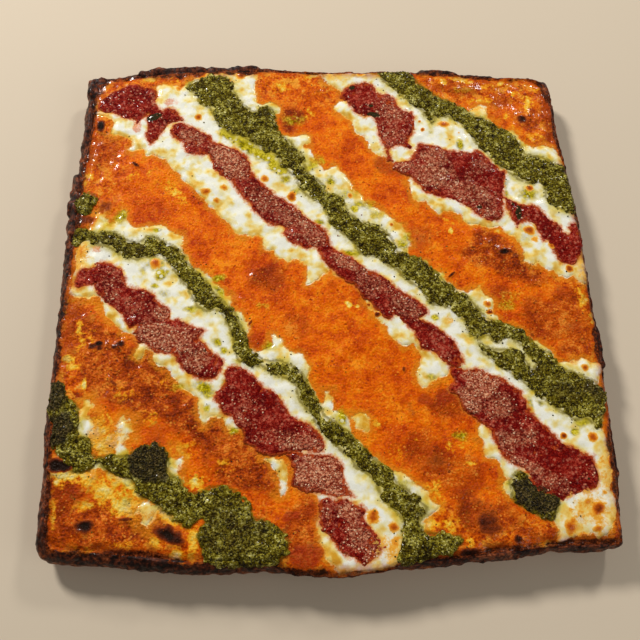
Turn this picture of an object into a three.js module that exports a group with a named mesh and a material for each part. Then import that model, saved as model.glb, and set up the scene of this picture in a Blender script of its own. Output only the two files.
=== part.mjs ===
// Square pan pizza, uncut. A browned dough base holds a baked layer of orange sauce and cheese.
// On it run diagonal bands of fresh mozzarella, and on those lie tomato sauce and basil pesto.
// Millimetres, +Z up, flat underside at z = 0, bounding box centred on the origin.
import * as THREE from 'three';

// Overall sizes of the baked square
const PAN_SIDE = 302;
const HALF_SIDE = PAN_SIDE / 2;
const WALL_LEAN = 4;
const WALL_WIDEST = 12;
const CRUST_TOP = 18;
const LIP_TOP = 20.2;
const LIP_WALL = 0.3;
const CLEARANCE = 0.35;

// Slow unevenness of the baked surface
const SURFACE_WAVE = 0.3;
const WAVE_LENGTH_X = 151;
const WAVE_LENGTH_Y = 170;
const EDGE_RISE = 0.7;
const EDGE_RISE_START = 0.72;

// Thickness of what lies on the dough
const CHEESE_THICKNESS = 2.3;
const MOZZARELLA_THICKNESS = 0.8;
const TOMATO_THICKNESS = 1.3;
const PESTO_THICKNESS = 2.0;
const TOMATO_LUMPS = 0.2;
const PESTO_LUMPS = 0.3;
const MOZZARELLA_LUMPS = 0.1;
const LUMP_SIZE = 5.5;

// Width of the dark rim of crust that shows from above, per side
const RIM_LEFT = 5.2;
const RIM_RIGHT = 1.6;
const RIM_BACK = 4.2;
const RIM_FRONT_LEFT = 6.8;
const RIM_FRONT_RIGHT = 3.2;

// Where melted cheese runs out over the front rim
const OVERHANG_X = 2;
const OVERHANG_HALF_WIDTH = 34;
const OVERHANG_RIM = 0.5;

// Corners of the square and how far each side swells outwards between them
const CORNERS = {
  backLeft: { at: [-153.5, 146.5], fillet: 3 },
  backRight: { at: [151, 151], fillet: 13 },
  frontRight: { at: [155, -152.5], fillet: 3 },
  frontLeft: { at: [-158, -152], fillet: 6 },
};
const SIDES = [
  { from: 'backLeft', to: 'backRight', swell: [6.9, 9.4, 8.6, 6.2, 5.2, 5.6, 1.6] },
  { from: 'backRight', to: 'frontRight', swell: [0.5, 3.3, 5.1, 5.6, 5.5, 4.7, 2.8] },
  { from: 'frontRight', to: 'frontLeft', swell: [1.2, 5.7, 7.8, 11.8, 8.3, 9.0, 4.0] },
  { from: 'frontLeft', to: 'backLeft', swell: [2.6, 4.0, 4.3, 3.5, 3.2, 2.2, -1.0] },
];
const SIDE_POINTS = 27;
const FILLET_POINTS = 3;
const RIM_ROUGHNESS = 0.6;
const RIM_LUMP_SPACING = 2.2;
const RIM_HEIGHT_ROUGHNESS = 0.35;

// Mozzarella bands, as pairs of points on the left and right edge of each band
const MOZZARELLA_STEP = 9;
const MOZZARELLA_RAGGED = 1.6;
const MOZZARELLA = {
  mozzarella_middle: [
    [-92, 152, -58, 154], [-93, 138, -44, 146], [-99, 121, -40, 130], [-118, 102, -27, 121],
    [-117, 89, -24, 107], [-100, 81, -8, 97], [-66, 45, 21, 66], [-44, 32, 37, 50],
    [-26, 16, 49, 29], [-8, 4, 63, 13], [14, -10, 82, 1], [30, -27, 98, -7],
    [46, -44, 109, -21], [48, -60, 127, -35], [68, -64, 145, -45], [78, -90, 156, -54],
    [90, -126, 156, -94], [106, -140, 155, -118], [136, -146, 150, -139],
  ],
  mozzarella_right: [
    [-5, 147, 28, 149], [4, 138, 57, 153], [10, 121, 69, 146], [22, 103, 85, 136],
    [33, 84, 99, 127], [50, 69, 113, 117], [57, 56, 125, 107], [78, 46, 136, 99],
    [98, 36, 149, 92], [116, 20, 155, 76], [134, 6, 156, 46], [148, 1, 156, 20],
  ],
  mozzarella_left: [
    [-154, 22, -150, 42], [-153, -3, -131, 49], [-136, -10, -116, 41], [-121, -27, -92, 34],
    [-104, -48, -75, 13], [-84, -60, -53, 0], [-67, -75, -43, -22], [-54, -92, -24, -38],
    [-38, -102, -7, -60], [-28, -113, 14, -80], [-19, -128, 32, -103], [-12, -144, 51, -122],
    [-4, -156, 68, -138], [5, -156, 61, -149],
  ],
  mozzarella_corner: [
    [-136, -69, -131, -61], [-132, -79, -123, -67], [-122, -89, -111, -78], [-114, -92, -106, -86],
  ],
};

// Tomato sauce bands, as [x, y, width] along the middle of each band
const SAUCE_STEP = 5;
const TOMATO_RAGGED = 0.9;
const TOMATO_ON_CHEESE = {
  tomato_corner: [[-142, 129, 13], [-134, 128, 22], [-124, 127, 26], [-114, 123, 19], [-108, 119, 11]],
};
const TOMATO_ON_MOZZARELLA = {
  tomato_middle: [
    [-97, 110, 10], [-90, 103, 13], [-80, 97, 16], [-70, 90, 16], [-60, 82, 19], [-45, 65, 15],
    [-30, 48, 14], [-15, 34, 16], [0, 18, 13], [10, 8, 12], [20, -3, 13], [30, -9, 16],
    [47, -18, 17], [60, -33, 14], [67, -41, 13], [73, -50, 8],
  ],
  tomato_front_right: [
    [81, -61, 10], [86, -67, 18], [93, -76, 24], [101, -88, 26], [110, -98, 26], [120, -107, 25],
    [130, -111, 22], [139, -112, 15],
  ],
  tomato_back: [
    [16, 133, 12], [25, 131, 21], [35, 122, 22], [44, 111, 25], [48, 103, 19], [46, 96, 10],
  ],
  tomato_right: [
    [44, 84, 7], [57, 82, 21], [70, 78, 31], [83, 74, 33], [95, 68, 33], [102, 59, 25], [104, 50, 12],
  ],
  tomato_right_edge: [
    [116, 50, 8], [123, 46, 13], [131, 41, 12], [138, 34, 15], [145, 27, 19], [147, 18, 16],
  ],
  tomato_left: [
    [-145, 5, 7], [-134, 6, 17], [-125, -3, 20], [-115, -12, 22], [-105, -22, 26], [-95, -30, 26],
    [-84, -36, 24], [-75, -45, 20], [-70, -51, 14],
  ],
  tomato_left_middle: [
    [-57, -55, 12], [-53, -64, 22], [-46, -73, 27], [-36, -82, 29], [-26, -89, 21], [-20, -91, 11],
  ],
  tomato_left_low: [[-11, -103, 14], [-10, -109, 25], [-8, -115, 20]],
  tomato_front: [[-2, -131, 12], [4, -136, 22], [11, -143, 24], [14, -151, 14]],
};

// Basil pesto bands, in the same way
const PESTO_RAGGED = 1.1;
const PESTO_ON_CHEESE = {
  pesto_corner: [
    [-150, -62, 7], [-148, -71, 12], [-146, -81, 15], [-142, -91, 16], [-136, -99, 13], [-124, -101, 10],
    [-113, -102, 11], [-103, -103, 17], [-97, -109, 21], [-91, -118, 19], [-80, -126, 21], [-68, -132, 36],
    [-53, -142, 35], [-40, -147, 23],
  ],
  pesto_edge: [[-147, 57, 7], [-144, 57, 9], [-140, 56, 7]],
};
const PESTO_ON_MOZZARELLA = {
  pesto_right: [
    [49, 145, 18], [55, 141, 19], [63, 135, 18], [82, 120, 18], [102, 105, 18], [112, 96, 22],
    [120, 86, 23], [130, 79, 22], [139, 73, 22], [145, 63, 17], [148, 52, 9],
  ],
  pesto_middle: [
    [-60, 143, 6], [-66, 148, 6], [-75, 148, 7], [-81, 141, 10], [-74, 132, 18], [-66, 125, 22],
    [-56, 115, 26], [-47, 107, 30], [-38, 98, 26], [-30, 90, 22], [-15, 73, 17], [0, 52, 16],
    [10, 42, 18], [20, 33, 20], [40, 18, 18], [60, 2, 16], [75, -13, 18], [95, -27, 14],
    [108, -35, 12], [122, -46, 14], [132, -56, 23], [141, -65, 27], [147, -70, 25],
  ],
  pesto_middle_strand: [[89, -43, 6], [96, -50, 9], [104, -59, 12], [112, -68, 13], [118, -75, 9]],
  pesto_left: [
    [-147, 33, 8], [-140, 31, 10], [-122, 25, 12], [-105, 25, 13], [-96, 22, 15], [-89, 12, 14],
    [-80, 3, 14], [-75, -7, 14], [-62, -12, 8], [-56, -22, 9], [-52, -34, 10], [-48, -45, 10],
    [-33, -48, 10], [-18, -60, 10], [-11, -76, 10], [0, -88, 13], [12, -100, 14], [28, -115, 14],
    [38, -127, 14], [38, -139, 12], [42, -148, 17], [53, -149, 13], [62, -147, 7],
  ],
  pesto_burnt: [[96, -119, 8], [103, -121, 13], [110, -128, 14], [116, -132, 10]],
};

// Repeatable noise between -1 and 1, smooth between whole numbers
function lattice(i, j, seed) {
  const s = Math.sin(i * 127.1 + j * 311.7 + seed * 74.7) * 43758.5453;
  return 2 * (s - Math.floor(s)) - 1;
}
function noise(x, y, seed) {
  const i = Math.floor(x);
  const j = Math.floor(y);
  const u = THREE.MathUtils.smoothstep(x - i, 0, 1);
  const v = THREE.MathUtils.smoothstep(y - j, 0, 1);
  const low = THREE.MathUtils.lerp(lattice(i, j, seed), lattice(i + 1, j, seed), u);
  const high = THREE.MathUtils.lerp(lattice(i, j + 1, seed), lattice(i + 1, j + 1, seed), u);
  return THREE.MathUtils.lerp(low, high, v);
}

// Outline of the baked square, seen from above, clockwise from the back left corner
function sidePoint(side, t) {
  const a = new THREE.Vector2(...CORNERS[side.from].at);
  const b = new THREE.Vector2(...CORNERS[side.to].at);
  const outward = new THREE.Vector2(a.y - b.y, b.x - a.x).normalize();
  const swell = [0, ...side.swell, 0];
  const place = t * (swell.length - 1);
  const k = Math.min(Math.floor(place), swell.length - 2);
  const amount = THREE.MathUtils.lerp(swell[k], swell[k + 1], place - k);
  return a.clone().lerp(b, t).addScaledVector(outward, amount);
}
function squareOutline() {
  const points = [];
  SIDES.forEach((side, index) => {
    const next = SIDES[(index + 1) % SIDES.length];
    const start = CORNERS[side.from].fillet / PAN_SIDE;
    const end = 1 - CORNERS[side.to].fillet / PAN_SIDE;
    for (let k = 0; k < SIDE_POINTS; k += 1) {
      const t = THREE.MathUtils.lerp(start, end, k / (SIDE_POINTS - 1));
      const rough = RIM_ROUGHNESS * noise(points.length / RIM_LUMP_SPACING, index, 3);
      points.push(sidePoint(side, t).multiplyScalar(1 + rough / HALF_SIDE));
    }
    const last = sidePoint(side, end);
    const first = sidePoint(next, CORNERS[side.to].fillet / PAN_SIDE);
    const corner = new THREE.Vector2(...CORNERS[side.to].at);
    for (let k = 1; k <= FILLET_POINTS; k += 1) {
      const t = k / (FILLET_POINTS + 1);
      const p = last.clone().lerp(corner, t);
      points.push(p.lerp(corner.clone().lerp(first, t), t));
    }
  });
  const box = new THREE.Box2().setFromPoints(points);
  const centre = box.getCenter(new THREE.Vector2());
  return { points, centre, half: box.getSize(new THREE.Vector2()).multiplyScalar(0.5) };
}
const outline = squareOutline();

// Width of the front rim: wide on the left, narrow on the right, almost none under the overhang
function frontRim(x) {
  const across = THREE.MathUtils.clamp((x + HALF_SIDE) / PAN_SIDE, 0, 1);
  const rim = THREE.MathUtils.lerp(RIM_FRONT_LEFT, RIM_FRONT_RIGHT, across);
  const distance = Math.abs(x - OVERHANG_X) / OVERHANG_HALF_WIDTH;
  return THREE.MathUtils.lerp(OVERHANG_RIM, rim, THREE.MathUtils.smoothstep(distance, 0.7, 1.2));
}

// One ring around the pizza: the outline moved in by a share of the rim and by an even distance
function ring(rimShare, even, z) {
  return outline.points.map((p) => {
    const sideRim = p.x < 0 ? RIM_LEFT : RIM_RIGHT;
    const endRim = p.y < 0 ? frontRim(p.x) : RIM_BACK;
    const x = p.x * (1 - (sideRim * rimShare + even) / HALF_SIDE);
    const y = p.y * (1 - (endRim * rimShare + even) / HALF_SIDE);
    return new THREE.Vector3(x, y, z);
  });
}

// Height of the baked surface over a point, with a low wave and a slow rise towards the rim
function surfaceHeight(x, y) {
  const squareness = 6;
  const reach = (Math.abs(x / outline.half.x) ** squareness + Math.abs(y / outline.half.y) ** squareness)
    ** (1 / squareness);
  const rise = EDGE_RISE * THREE.MathUtils.smoothstep(reach, EDGE_RISE_START, 1);
  const waveX = Math.sin((2 * Math.PI * x) / WAVE_LENGTH_X + 0.6);
  const waveY = Math.sin((2 * Math.PI * (y - x / 2)) / WAVE_LENGTH_Y + 2.1);
  return CRUST_TOP + CLEARANCE + CHEESE_THICKNESS + rise + SURFACE_WAVE * (waveX + waveY);
}

// Closed mesh from stacked rings with one middle point at each end
function stackedRings(rings, bottomMiddle, topMiddle) {
  const count = rings[0].length;
  const positions = [bottomMiddle, ...rings.flat(), topMiddle].flatMap((p) => [p.x, p.y, p.z]);
  const faces = [];
  const at = (r, k) => 1 + r * count + (k % count);
  const top = 1 + rings.length * count;
  for (let k = 0; k < count; k += 1) {
    faces.push(0, at(0, k), at(0, k + 1));
    for (let r = 0; r + 1 < rings.length; r += 1) {
      faces.push(at(r, k), at(r + 1, k), at(r + 1, k + 1));
      faces.push(at(r, k), at(r + 1, k + 1), at(r, k + 1));
    }
    faces.push(at(rings.length - 1, k), top, at(rings.length - 1, k + 1));
  }
  const geometry = new THREE.BufferGeometry();
  geometry.setAttribute('position', new THREE.Float32BufferAttribute(positions, 3));
  geometry.setIndex(faces);
  return geometry;
}

// Dough base: leaning wall, rounded dark rim, and a low lip around the cheese
function crustGeometry() {
  const shoulder = LIP_TOP - WALL_WIDEST;
  const wall = [[1, 0], [0.55, 0.1], [0.25, 0.5]].map(([lean, rise]) => (
    [0, WALL_LEAN * lean, WALL_WIDEST * rise]
  ));
  const roundedRim = [[0, 0], [0.12, 0.37], [0.42, 0.71], [0.78, 0.94], [1, 1]].map(([share, rise]) => (
    [share, 0, WALL_WIDEST + shoulder * rise]
  ));
  const rings = [...wall, ...roundedRim, [1, LIP_WALL, CRUST_TOP]].map((level) => ring(...level));
  rings.slice(wall.length, -1).forEach((one, level) => {
    one.forEach((p, k) => {
      p.z += RIM_HEIGHT_ROUGHNESS * noise(k * 0.7, level * 0.8, 11);
    });
  });
  return stackedRings(rings, new THREE.Vector3(0, 0, 0), new THREE.Vector3(0, 0, CRUST_TOP));
}

// Orange sauce baked into cheese, a slab with a rounded edge inside the lip of the crust
const CHEESE_INSET = LIP_WALL + CLEARANCE;
const CHEESE_EDGE_ROUND = 4.5;
const CHEESE_INNER_RINGS = 8;
function cheeseGeometry() {
  const bottom = CRUST_TOP + CLEARANCE;
  const level = (even, share) => ring(1, CHEESE_INSET + even, 0).map((p) => (
    new THREE.Vector3(p.x, p.y, THREE.MathUtils.lerp(bottom, surfaceHeight(p.x, p.y), share))
  ));
  const rings = [[0, 0], [0, 0.12], [0.09, 0.62], [0.35, 0.9], [1, 1]].map(([even, share]) => (
    level(even * CHEESE_EDGE_ROUND, share)
  ));
  const inner = rings[rings.length - 1];
  for (let k = 1; k <= CHEESE_INNER_RINGS; k += 1) {
    const scale = 1 - (k / (CHEESE_INNER_RINGS + 1)) ** 1.15;
    rings.push(inner.map((p) => (
      new THREE.Vector3(p.x * scale, p.y * scale, surfaceHeight(p.x * scale, p.y * scale))
    )));
  }
  return stackedRings(rings, new THREE.Vector3(0, 0, bottom), new THREE.Vector3(0, 0, surfaceHeight(0, 0)));
}

// Pull a point back inside the edge of the cheese slab
const cheeseEdge = ring(1, CHEESE_INSET, 0);
function keepInside(x, y, margin) {
  const distance = Math.hypot(x, y);
  let reach = Infinity;
  cheeseEdge.forEach((a, k) => {
    const b = cheeseEdge[(k + 1) % cheeseEdge.length];
    const turn = (b.x - a.x) * -y + (b.y - a.y) * x;
    const along = (a.x * -y + a.y * x) / -turn;
    const here = along >= 0 && along <= 1;
    const hitX = a.x + (b.x - a.x) * along;
    const hitY = a.y + (b.y - a.y) * along;
    if (here && hitX * x + hitY * y > 0) {
      reach = Math.min(reach, Math.hypot(hitX, hitY));
    }
  });
  const scale = Math.min(1, (reach - margin) / distance);
  return [x * scale, y * scale];
}

// Keep a band inside the cheese, and keep both its edges moving ahead, so that it never folds over itself
const TIGHTEST_STEP = 0.8;
function settled(rows, margin) {
  rows.forEach((row) => {
    ['left', 'right', 'tip'].filter((side) => row[side]).forEach((side) => {
      row[side] = keepInside(...row[side], margin);
    });
  });
  for (let k = 2; k < rows.length - 1; k += 1) {
    ['left', 'right'].forEach((side) => {
      const a = rows[k - 1][side];
      const b = rows[k][side];
      const ahead = [0, 1].map((axis) => (rows[k - 1].ahead[axis] + rows[k].ahead[axis]) / 2);
      const forward = (b[0] - a[0]) * ahead[0] + (b[1] - a[1]) * ahead[1];
      const push = Math.max(0, TIGHTEST_STEP - forward);
      rows[k][side] = [b[0] + ahead[0] * push, b[1] + ahead[1] * push];
    });
  }
  return rows;
}

// Left and right edges of a band, from its middle line and widths
const RAGGED_SPACING = 1.2;
function bandEdges(stations, step, ragged, seed) {
  const middle = stations.map((s) => new THREE.Vector3(s[0], s[1], 0));
  const curve = new THREE.CatmullRomCurve3(middle, false, 'centripetal');
  const widths = new THREE.CatmullRomCurve3(stations.map((s, k) => new THREE.Vector3(k, s[2], 0)));
  const count = Math.max(2, Math.round(curve.getLength() / step));
  const rows = [];
  for (let k = 0; k <= count; k += 1) {
    const t = curve.getUtoTmapping(k / count);
    const p = curve.getPoint(t);
    const along = curve.getTangent(t);
    const half = widths.getPoint(t).y / 2;
    const left = half + ragged * noise(k / RAGGED_SPACING, 0.5, seed);
    const right = half + ragged * noise(k / RAGGED_SPACING, 7.5, seed);
    rows.push({
      left: [p.x + along.y * left, p.y - along.x * left],
      right: [p.x - along.y * right, p.y + along.x * right],
      ahead: [along.x, along.y],
    });
  }
  return rows;
}

// Left and right edges of a wide band given by pairs of edge points
function pairEdges(pairs, step, ragged, seed) {
  const left = new THREE.CatmullRomCurve3(pairs.map((s) => new THREE.Vector3(s[0], s[1], 0)));
  const right = new THREE.CatmullRomCurve3(pairs.map((s) => new THREE.Vector3(s[2], s[3], 0)));
  const count = Math.round((left.getLength() + right.getLength()) / 2 / step);
  const rows = [];
  for (let k = 0; k <= count; k += 1) {
    const a = left.getPoint(k / count);
    const b = right.getPoint(k / count);
    const width = a.distanceTo(b);
    const across = b.clone().sub(a).divideScalar(width);
    const shiftA = ragged * noise(k / RAGGED_SPACING, 2.5, seed);
    const shiftB = ragged * noise(k / RAGGED_SPACING, 5.5, seed);
    rows.push({
      left: [a.x - across.x * shiftA, a.y - across.y * shiftA],
      right: [b.x + across.x * shiftB, b.y + across.y * shiftB],
      ahead: [across.y, -across.x],
    });
  }
  return rows;
}

// Round off both ends of a band over a quarter turn, ending in a single point
const MOST_END_SHARE = 0.4;
function withEnds(rows, endLength) {
  const capped = (row, sign) => {
    const width = Math.hypot(row.right[0] - row.left[0], row.right[1] - row.left[1]);
    const length = Math.min(endLength, width * MOST_END_SHARE);
    return [30, 60].map((degrees) => {
      const angle = THREE.MathUtils.degToRad(degrees);
      const push = sign * length * Math.sin(angle);
      const narrow = (1 - Math.cos(angle)) / 2;
      const mix = (from, to, k) => from[k] + (to[k] - from[k]) * narrow + row.ahead[k] * push;
      return {
        left: [mix(row.left, row.right, 0), mix(row.left, row.right, 1)],
        right: [mix(row.right, row.left, 0), mix(row.right, row.left, 1)],
        ahead: row.ahead,
      };
    }).concat([{
      tip: [0, 1].map((k) => (row.left[k] + row.right[k]) / 2 + row.ahead[k] * sign * length),
    }]);
  };
  const start = capped(rows[0], -1).reverse();
  return [...start, ...rows, ...capped(rows[rows.length - 1], 1)];
}

// Closed low mound over a band: flat under, domed and slightly lumpy on top, thin at its edges
const DOME = [[0.07, 0.58], [0.26, 0.9], [0.5, 1], [0.74, 0.9], [0.93, 0.58]];
const END_ROWS = 3;
function moundGeometry(rows, floorHeight, thickness, lumps, underCount, seed) {
  const positions = [];
  const add = (x, y, lift) => {
    positions.push(x, y, surfaceHeight(x, y) + floorHeight + lift);
    return positions.length / 3 - 1;
  };
  const between = (row, share) => [0, 1].map((k) => row.left[k] + (row.right[k] - row.left[k]) * share);
  const grid = rows.map((row, index) => {
    if (row.tip) {
      const tip = add(...row.tip, 0);
      return { top: [tip], under: [tip] };
    }
    const left = add(...row.left, 0);
    const right = add(...row.right, 0);
    const nearEnd = Math.min(1, Math.min(index, rows.length - 1 - index) / END_ROWS);
    const middles = DOME.map(([share, height]) => {
      const [x, y] = between(row, share);
      const lump = 1 + lumps * noise(x / LUMP_SIZE, y / LUMP_SIZE, seed);
      return add(x, y, thickness * height * Math.sqrt(nearEnd) * lump);
    });
    const unders = [];
    for (let k = 1; k < underCount; k += 1) {
      unders.push(add(...between(row, k / underCount), 0));
    }
    return { top: [left, ...middles, right], under: [left, ...unders, right] };
  });
  const faces = [];
  const join = (a, b, flip) => {
    const push = (i, j, k) => faces.push(...(flip ? [i, k, j] : [i, j, k]));
    const count = Math.max(a.length, b.length);
    for (let k = 0; k + 1 < count; k += 1) {
      if (a.length > 1) {
        push(a[k], b[b.length > 1 ? k : 0], a[k + 1]);
      }
      if (b.length > 1) {
        push(a[a.length > 1 ? k + 1 : 0], b[k], b[k + 1]);
      }
    }
  };
  for (let k = 0; k + 1 < grid.length; k += 1) {
    join(grid[k].top, grid[k + 1].top, false);
    join(grid[k].under, grid[k + 1].under, true);
  }
  const geometry = new THREE.BufferGeometry();
  geometry.setAttribute('position', new THREE.Float32BufferAttribute(positions, 3));
  geometry.setIndex(faces);
  return geometry;
}

// Put the parts together, each with its own colour, centred on the origin
const group = new THREE.Group();
function addPart(name, geometry, color, roughness) {
  geometry.translate(-outline.centre.x, -outline.centre.y, 0);
  geometry.computeVertexNormals();
  const mesh = new THREE.Mesh(geometry, new THREE.MeshStandardMaterial({ color, roughness, metalness: 0 }));
  mesh.name = name;
  group.add(mesh);
}
const CRUST_LOOK = ['#5e3016', 0.75];
const CHEESE_LOOK = ['#d0600f', 0.45];
const MOZZARELLA_LOOK = ['#efe9d2', 0.4];
const TOMATO_LOOK = ['#8e1410', 0.35];
const PESTO_LOOK = ['#4d5216', 0.5];
addPart('crust', crustGeometry(), ...CRUST_LOOK);
addPart('baked_cheese', cheeseGeometry(), ...CHEESE_LOOK);

// Mozzarella lies on the cheese; most sauce and pesto lies on mozzarella, a little on the cheese
const ON_CHEESE = CLEARANCE;
const ON_MOZZARELLA = ON_CHEESE + MOZZARELLA_THICKNESS * (1 + MOZZARELLA_LUMPS) + CLEARANCE;
const SAUCE_END = 9;
const SAUCE_MARGIN = 2;
const MOZZARELLA_END = 3;
const MOZZARELLA_MARGIN = 1;
Object.entries(MOZZARELLA).forEach(([name, pairs], index) => {
  const edges = pairEdges(pairs, MOZZARELLA_STEP, MOZZARELLA_RAGGED, 20 + index);
  const rows = settled(withEnds(edges, MOZZARELLA_END), MOZZARELLA_MARGIN);
  const underCount = pairs.length > 6 ? 3 : 1;
  const geometry = moundGeometry(rows, ON_CHEESE, MOZZARELLA_THICKNESS, MOZZARELLA_LUMPS, underCount, 31);
  addPart(name, geometry, ...MOZZARELLA_LOOK);
});
function addBands(bands, floorHeight, thickness, ragged, lumps, look, seed) {
  Object.entries(bands).forEach(([name, stations], index) => {
    const edges = bandEdges(stations, SAUCE_STEP, ragged, seed + index);
    const rows = settled(withEnds(edges, SAUCE_END), SAUCE_MARGIN);
    addPart(name, moundGeometry(rows, floorHeight, thickness, lumps, 1, seed), ...look);
  });
}
addBands(TOMATO_ON_CHEESE, ON_CHEESE, TOMATO_THICKNESS, TOMATO_RAGGED, TOMATO_LUMPS, TOMATO_LOOK, 41);
addBands(TOMATO_ON_MOZZARELLA, ON_MOZZARELLA, TOMATO_THICKNESS, TOMATO_RAGGED, TOMATO_LUMPS, TOMATO_LOOK, 47);
addBands(PESTO_ON_CHEESE, ON_CHEESE, PESTO_THICKNESS, PESTO_RAGGED, PESTO_LUMPS, PESTO_LOOK, 61);
addBands(PESTO_ON_MOZZARELLA, ON_MOZZARELLA, PESTO_THICKNESS, PESTO_RAGGED, PESTO_LUMPS, PESTO_LOOK, 67);

export default group;
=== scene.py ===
"""A whole square pan pizza with diagonal bands of mozzarella, tomato sauce and basil pesto."""
import math

import bmesh
import bpy
import numpy as np
from mathutils import Matrix, Vector
from mathutils.bvhtree import BVHTree


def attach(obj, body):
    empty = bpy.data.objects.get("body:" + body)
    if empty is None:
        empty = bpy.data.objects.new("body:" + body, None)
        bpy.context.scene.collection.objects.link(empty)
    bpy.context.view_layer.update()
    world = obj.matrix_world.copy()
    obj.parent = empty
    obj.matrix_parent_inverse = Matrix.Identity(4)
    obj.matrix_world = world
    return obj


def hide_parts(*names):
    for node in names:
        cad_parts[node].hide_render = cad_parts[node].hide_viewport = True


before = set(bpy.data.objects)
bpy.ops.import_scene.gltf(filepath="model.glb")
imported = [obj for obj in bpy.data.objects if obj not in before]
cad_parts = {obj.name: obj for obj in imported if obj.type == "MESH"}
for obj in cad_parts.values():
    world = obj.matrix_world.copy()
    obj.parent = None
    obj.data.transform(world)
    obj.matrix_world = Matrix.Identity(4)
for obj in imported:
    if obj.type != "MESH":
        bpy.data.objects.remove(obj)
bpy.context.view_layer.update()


# Crust
# The dough base: a flat fried underside, a wall that leans in towards the bottom, and a rounded rim of
# dough and fried cheese that baked almost black against the pan. It is one piece, so it is one closed mesh.
MM = 0.001
CRUST_AROUND = 1300
CRUST_PROFILE = 40
CRUST_CORE_INSET = 9.0
CRUST_CORE_HEIGHT = 9.0
WIDEST_HEIGHT = 12.0
WIDEST_RAYS = 1440
RAY_REACH = 400.0
HALF_SIDE = 155.0
PAN_MIDDLE = np.array([0.867, 3.539])

# Where the rim puffed up and burnt, in millimetres from the middle of the pan: x, y, radius along, radius
# across, strength and, if it isn't zero, turn in degrees
CAUGHT = [
    (-100, 152, 34, 8, 1), (-62, 155, 22, 8, 0.9), (-148, 142, 8, 14, 1), (-152, 112, 6, 22, 0.8),
    (-156, 62, 7, 20, 0.95), (-154, 40, 6, 12, 0.8), (-157, 10, 4, 20, 0.6), (-159, -40, 4, 30, 0.5),
    (-160, -90, 4, 20, 0.6), (-160, -132, 7, 20, 0.7), (-130, -156, 26, 6, 0.6), (-100, -155, 14, 9, 0.7),
    (-60, -160, 24, 5, 0.6), (-20, -161, 18, 3, 0.5), (50, -159, 20, 5, 0.6), (92, -156, 22, 7, 0.75),
    (130, -152, 20, 5, 0.65), (154, -110, 4, 24, 0.6), (158, -40, 5, 14, 0.8), (158, -10, 3, 20, 0.4),
    (156, 60, 4, 30, 0.6), (152, 110, 4, 24, 0.6), (148, 138, 6, 12, 0.7), (110, 153, 24, 4, 0.6),
    (76, 155, 14, 6, 0.9), (20, 155, 20, 4, 0.5), (-30, 155, 20, 4, 0.6),
]


def merged_solid(name):
    """A merged copy of a CAD node as an edit mesh, in millimetres."""
    solid = bmesh.new()
    solid.from_mesh(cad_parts[name].data)
    bmesh.ops.remove_doubles(solid, verts=solid.verts, dist=1e-6)
    bmesh.ops.scale(solid, vec=(1 / MM,) * 3, verts=solid.verts)
    solid.normal_update()
    return solid


def cloud(points, size, seed, octaves=1):
    """Soft noise between about -1 and 1 at an (n, 3) array of points, with lumps about `size` wide."""
    total = np.zeros(len(points))
    for octave in range(octaves):
        rng = np.random.default_rng(seed + 101 * octave)
        shuffle = rng.permutation(512)
        slopes = rng.normal(size=(512, 3))
        slopes /= np.linalg.norm(slopes, axis=1)[:, None]
        place = points / (size / 2 ** octave) + 517.3
        cell = np.floor(place).astype(int)
        inside = place - cell
        fade = inside ** 3 * (inside * (inside * 6 - 15) + 10)
        for corner in np.ndindex(2, 2, 2):
            at = (cell + corner) % 512
            index = shuffle[(shuffle[(shuffle[at[:, 0]] + at[:, 1]) % 512] + at[:, 2]) % 512]
            slope = (slopes[index] * (inside - corner)).sum(1)
            share = np.where(corner, fade, 1 - fade).prod(1)
            total += slope * share * 1.6 / 2 ** octave
    return total


def evenly(points, count, closed=False):
    """The same line with `count` evenly spaced points."""
    line = np.vstack([points, points[:1]]) if closed else points
    along = np.r_[0, np.cumsum(np.linalg.norm(np.diff(line, axis=0), axis=1))]
    wanted = np.linspace(0, along[-1], count + 1)[:-1] if closed else np.linspace(0, along[-1], count)
    return np.stack([np.interp(wanted, along, line[:, k]) for k in range(line.shape[1])], axis=1)


def smooth_step(value, low, high):
    """A soft step from 0 at `low` to 1 at `high`, falling where `low` is the larger."""
    share = np.clip((value - low) / (high - low), 0, 1)
    return share * share * (3 - 2 * share)


def soft_patches(patches, x, y, ragged, core=0.6, edge=1.35):
    """The strongest of a list of soft ovals at each point, full inside `core` and gone outside `edge`."""
    total = np.zeros(len(x))
    for patch in patches:
        patch_x, patch_y, along, across, strength, turn = (*patch, 0)[:6]
        c, s = math.cos(math.radians(turn)), math.sin(math.radians(turn))
        dx, dy = x - patch_x - PAN_MIDDLE[0], y - patch_y - PAN_MIDDLE[1]
        away = np.hypot((dx * c + dy * s) / along, (dy * c - dx * s) / across)
        total = np.maximum(total, strength * smooth_step(away + ragged, edge, core))
    return total


def mesh_piece(name, points, faces, marks=None):
    """A smooth shaded object from points in millimetres, with named values on its points."""
    mesh = bpy.data.meshes.new(name)
    mesh.from_pydata(np.asarray(points, float) * MM, [], faces)
    mesh.polygons.foreach_set("use_smooth", np.ones(len(mesh.polygons), bool))
    for mark, values in (marks or {}).items():
        attribute = mesh.attributes.new(mark, "FLOAT", "POINT")
        attribute.data.foreach_set("value", np.asarray(values, np.float32))
    mesh.update()
    piece = bpy.data.objects.new(name, mesh)
    bpy.context.scene.collection.objects.link(piece)
    return piece


def photo_colour(red, green, blue):
    """A display colour from 0 to 255 as the linear colour that shaders use."""
    shares = [value / 255 for value in (red, green, blue)]
    return (*[s / 12.92 if s <= 0.04045 else ((s + 0.055) / 1.055) ** 2.4 for s in shares], 1.0)


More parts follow.
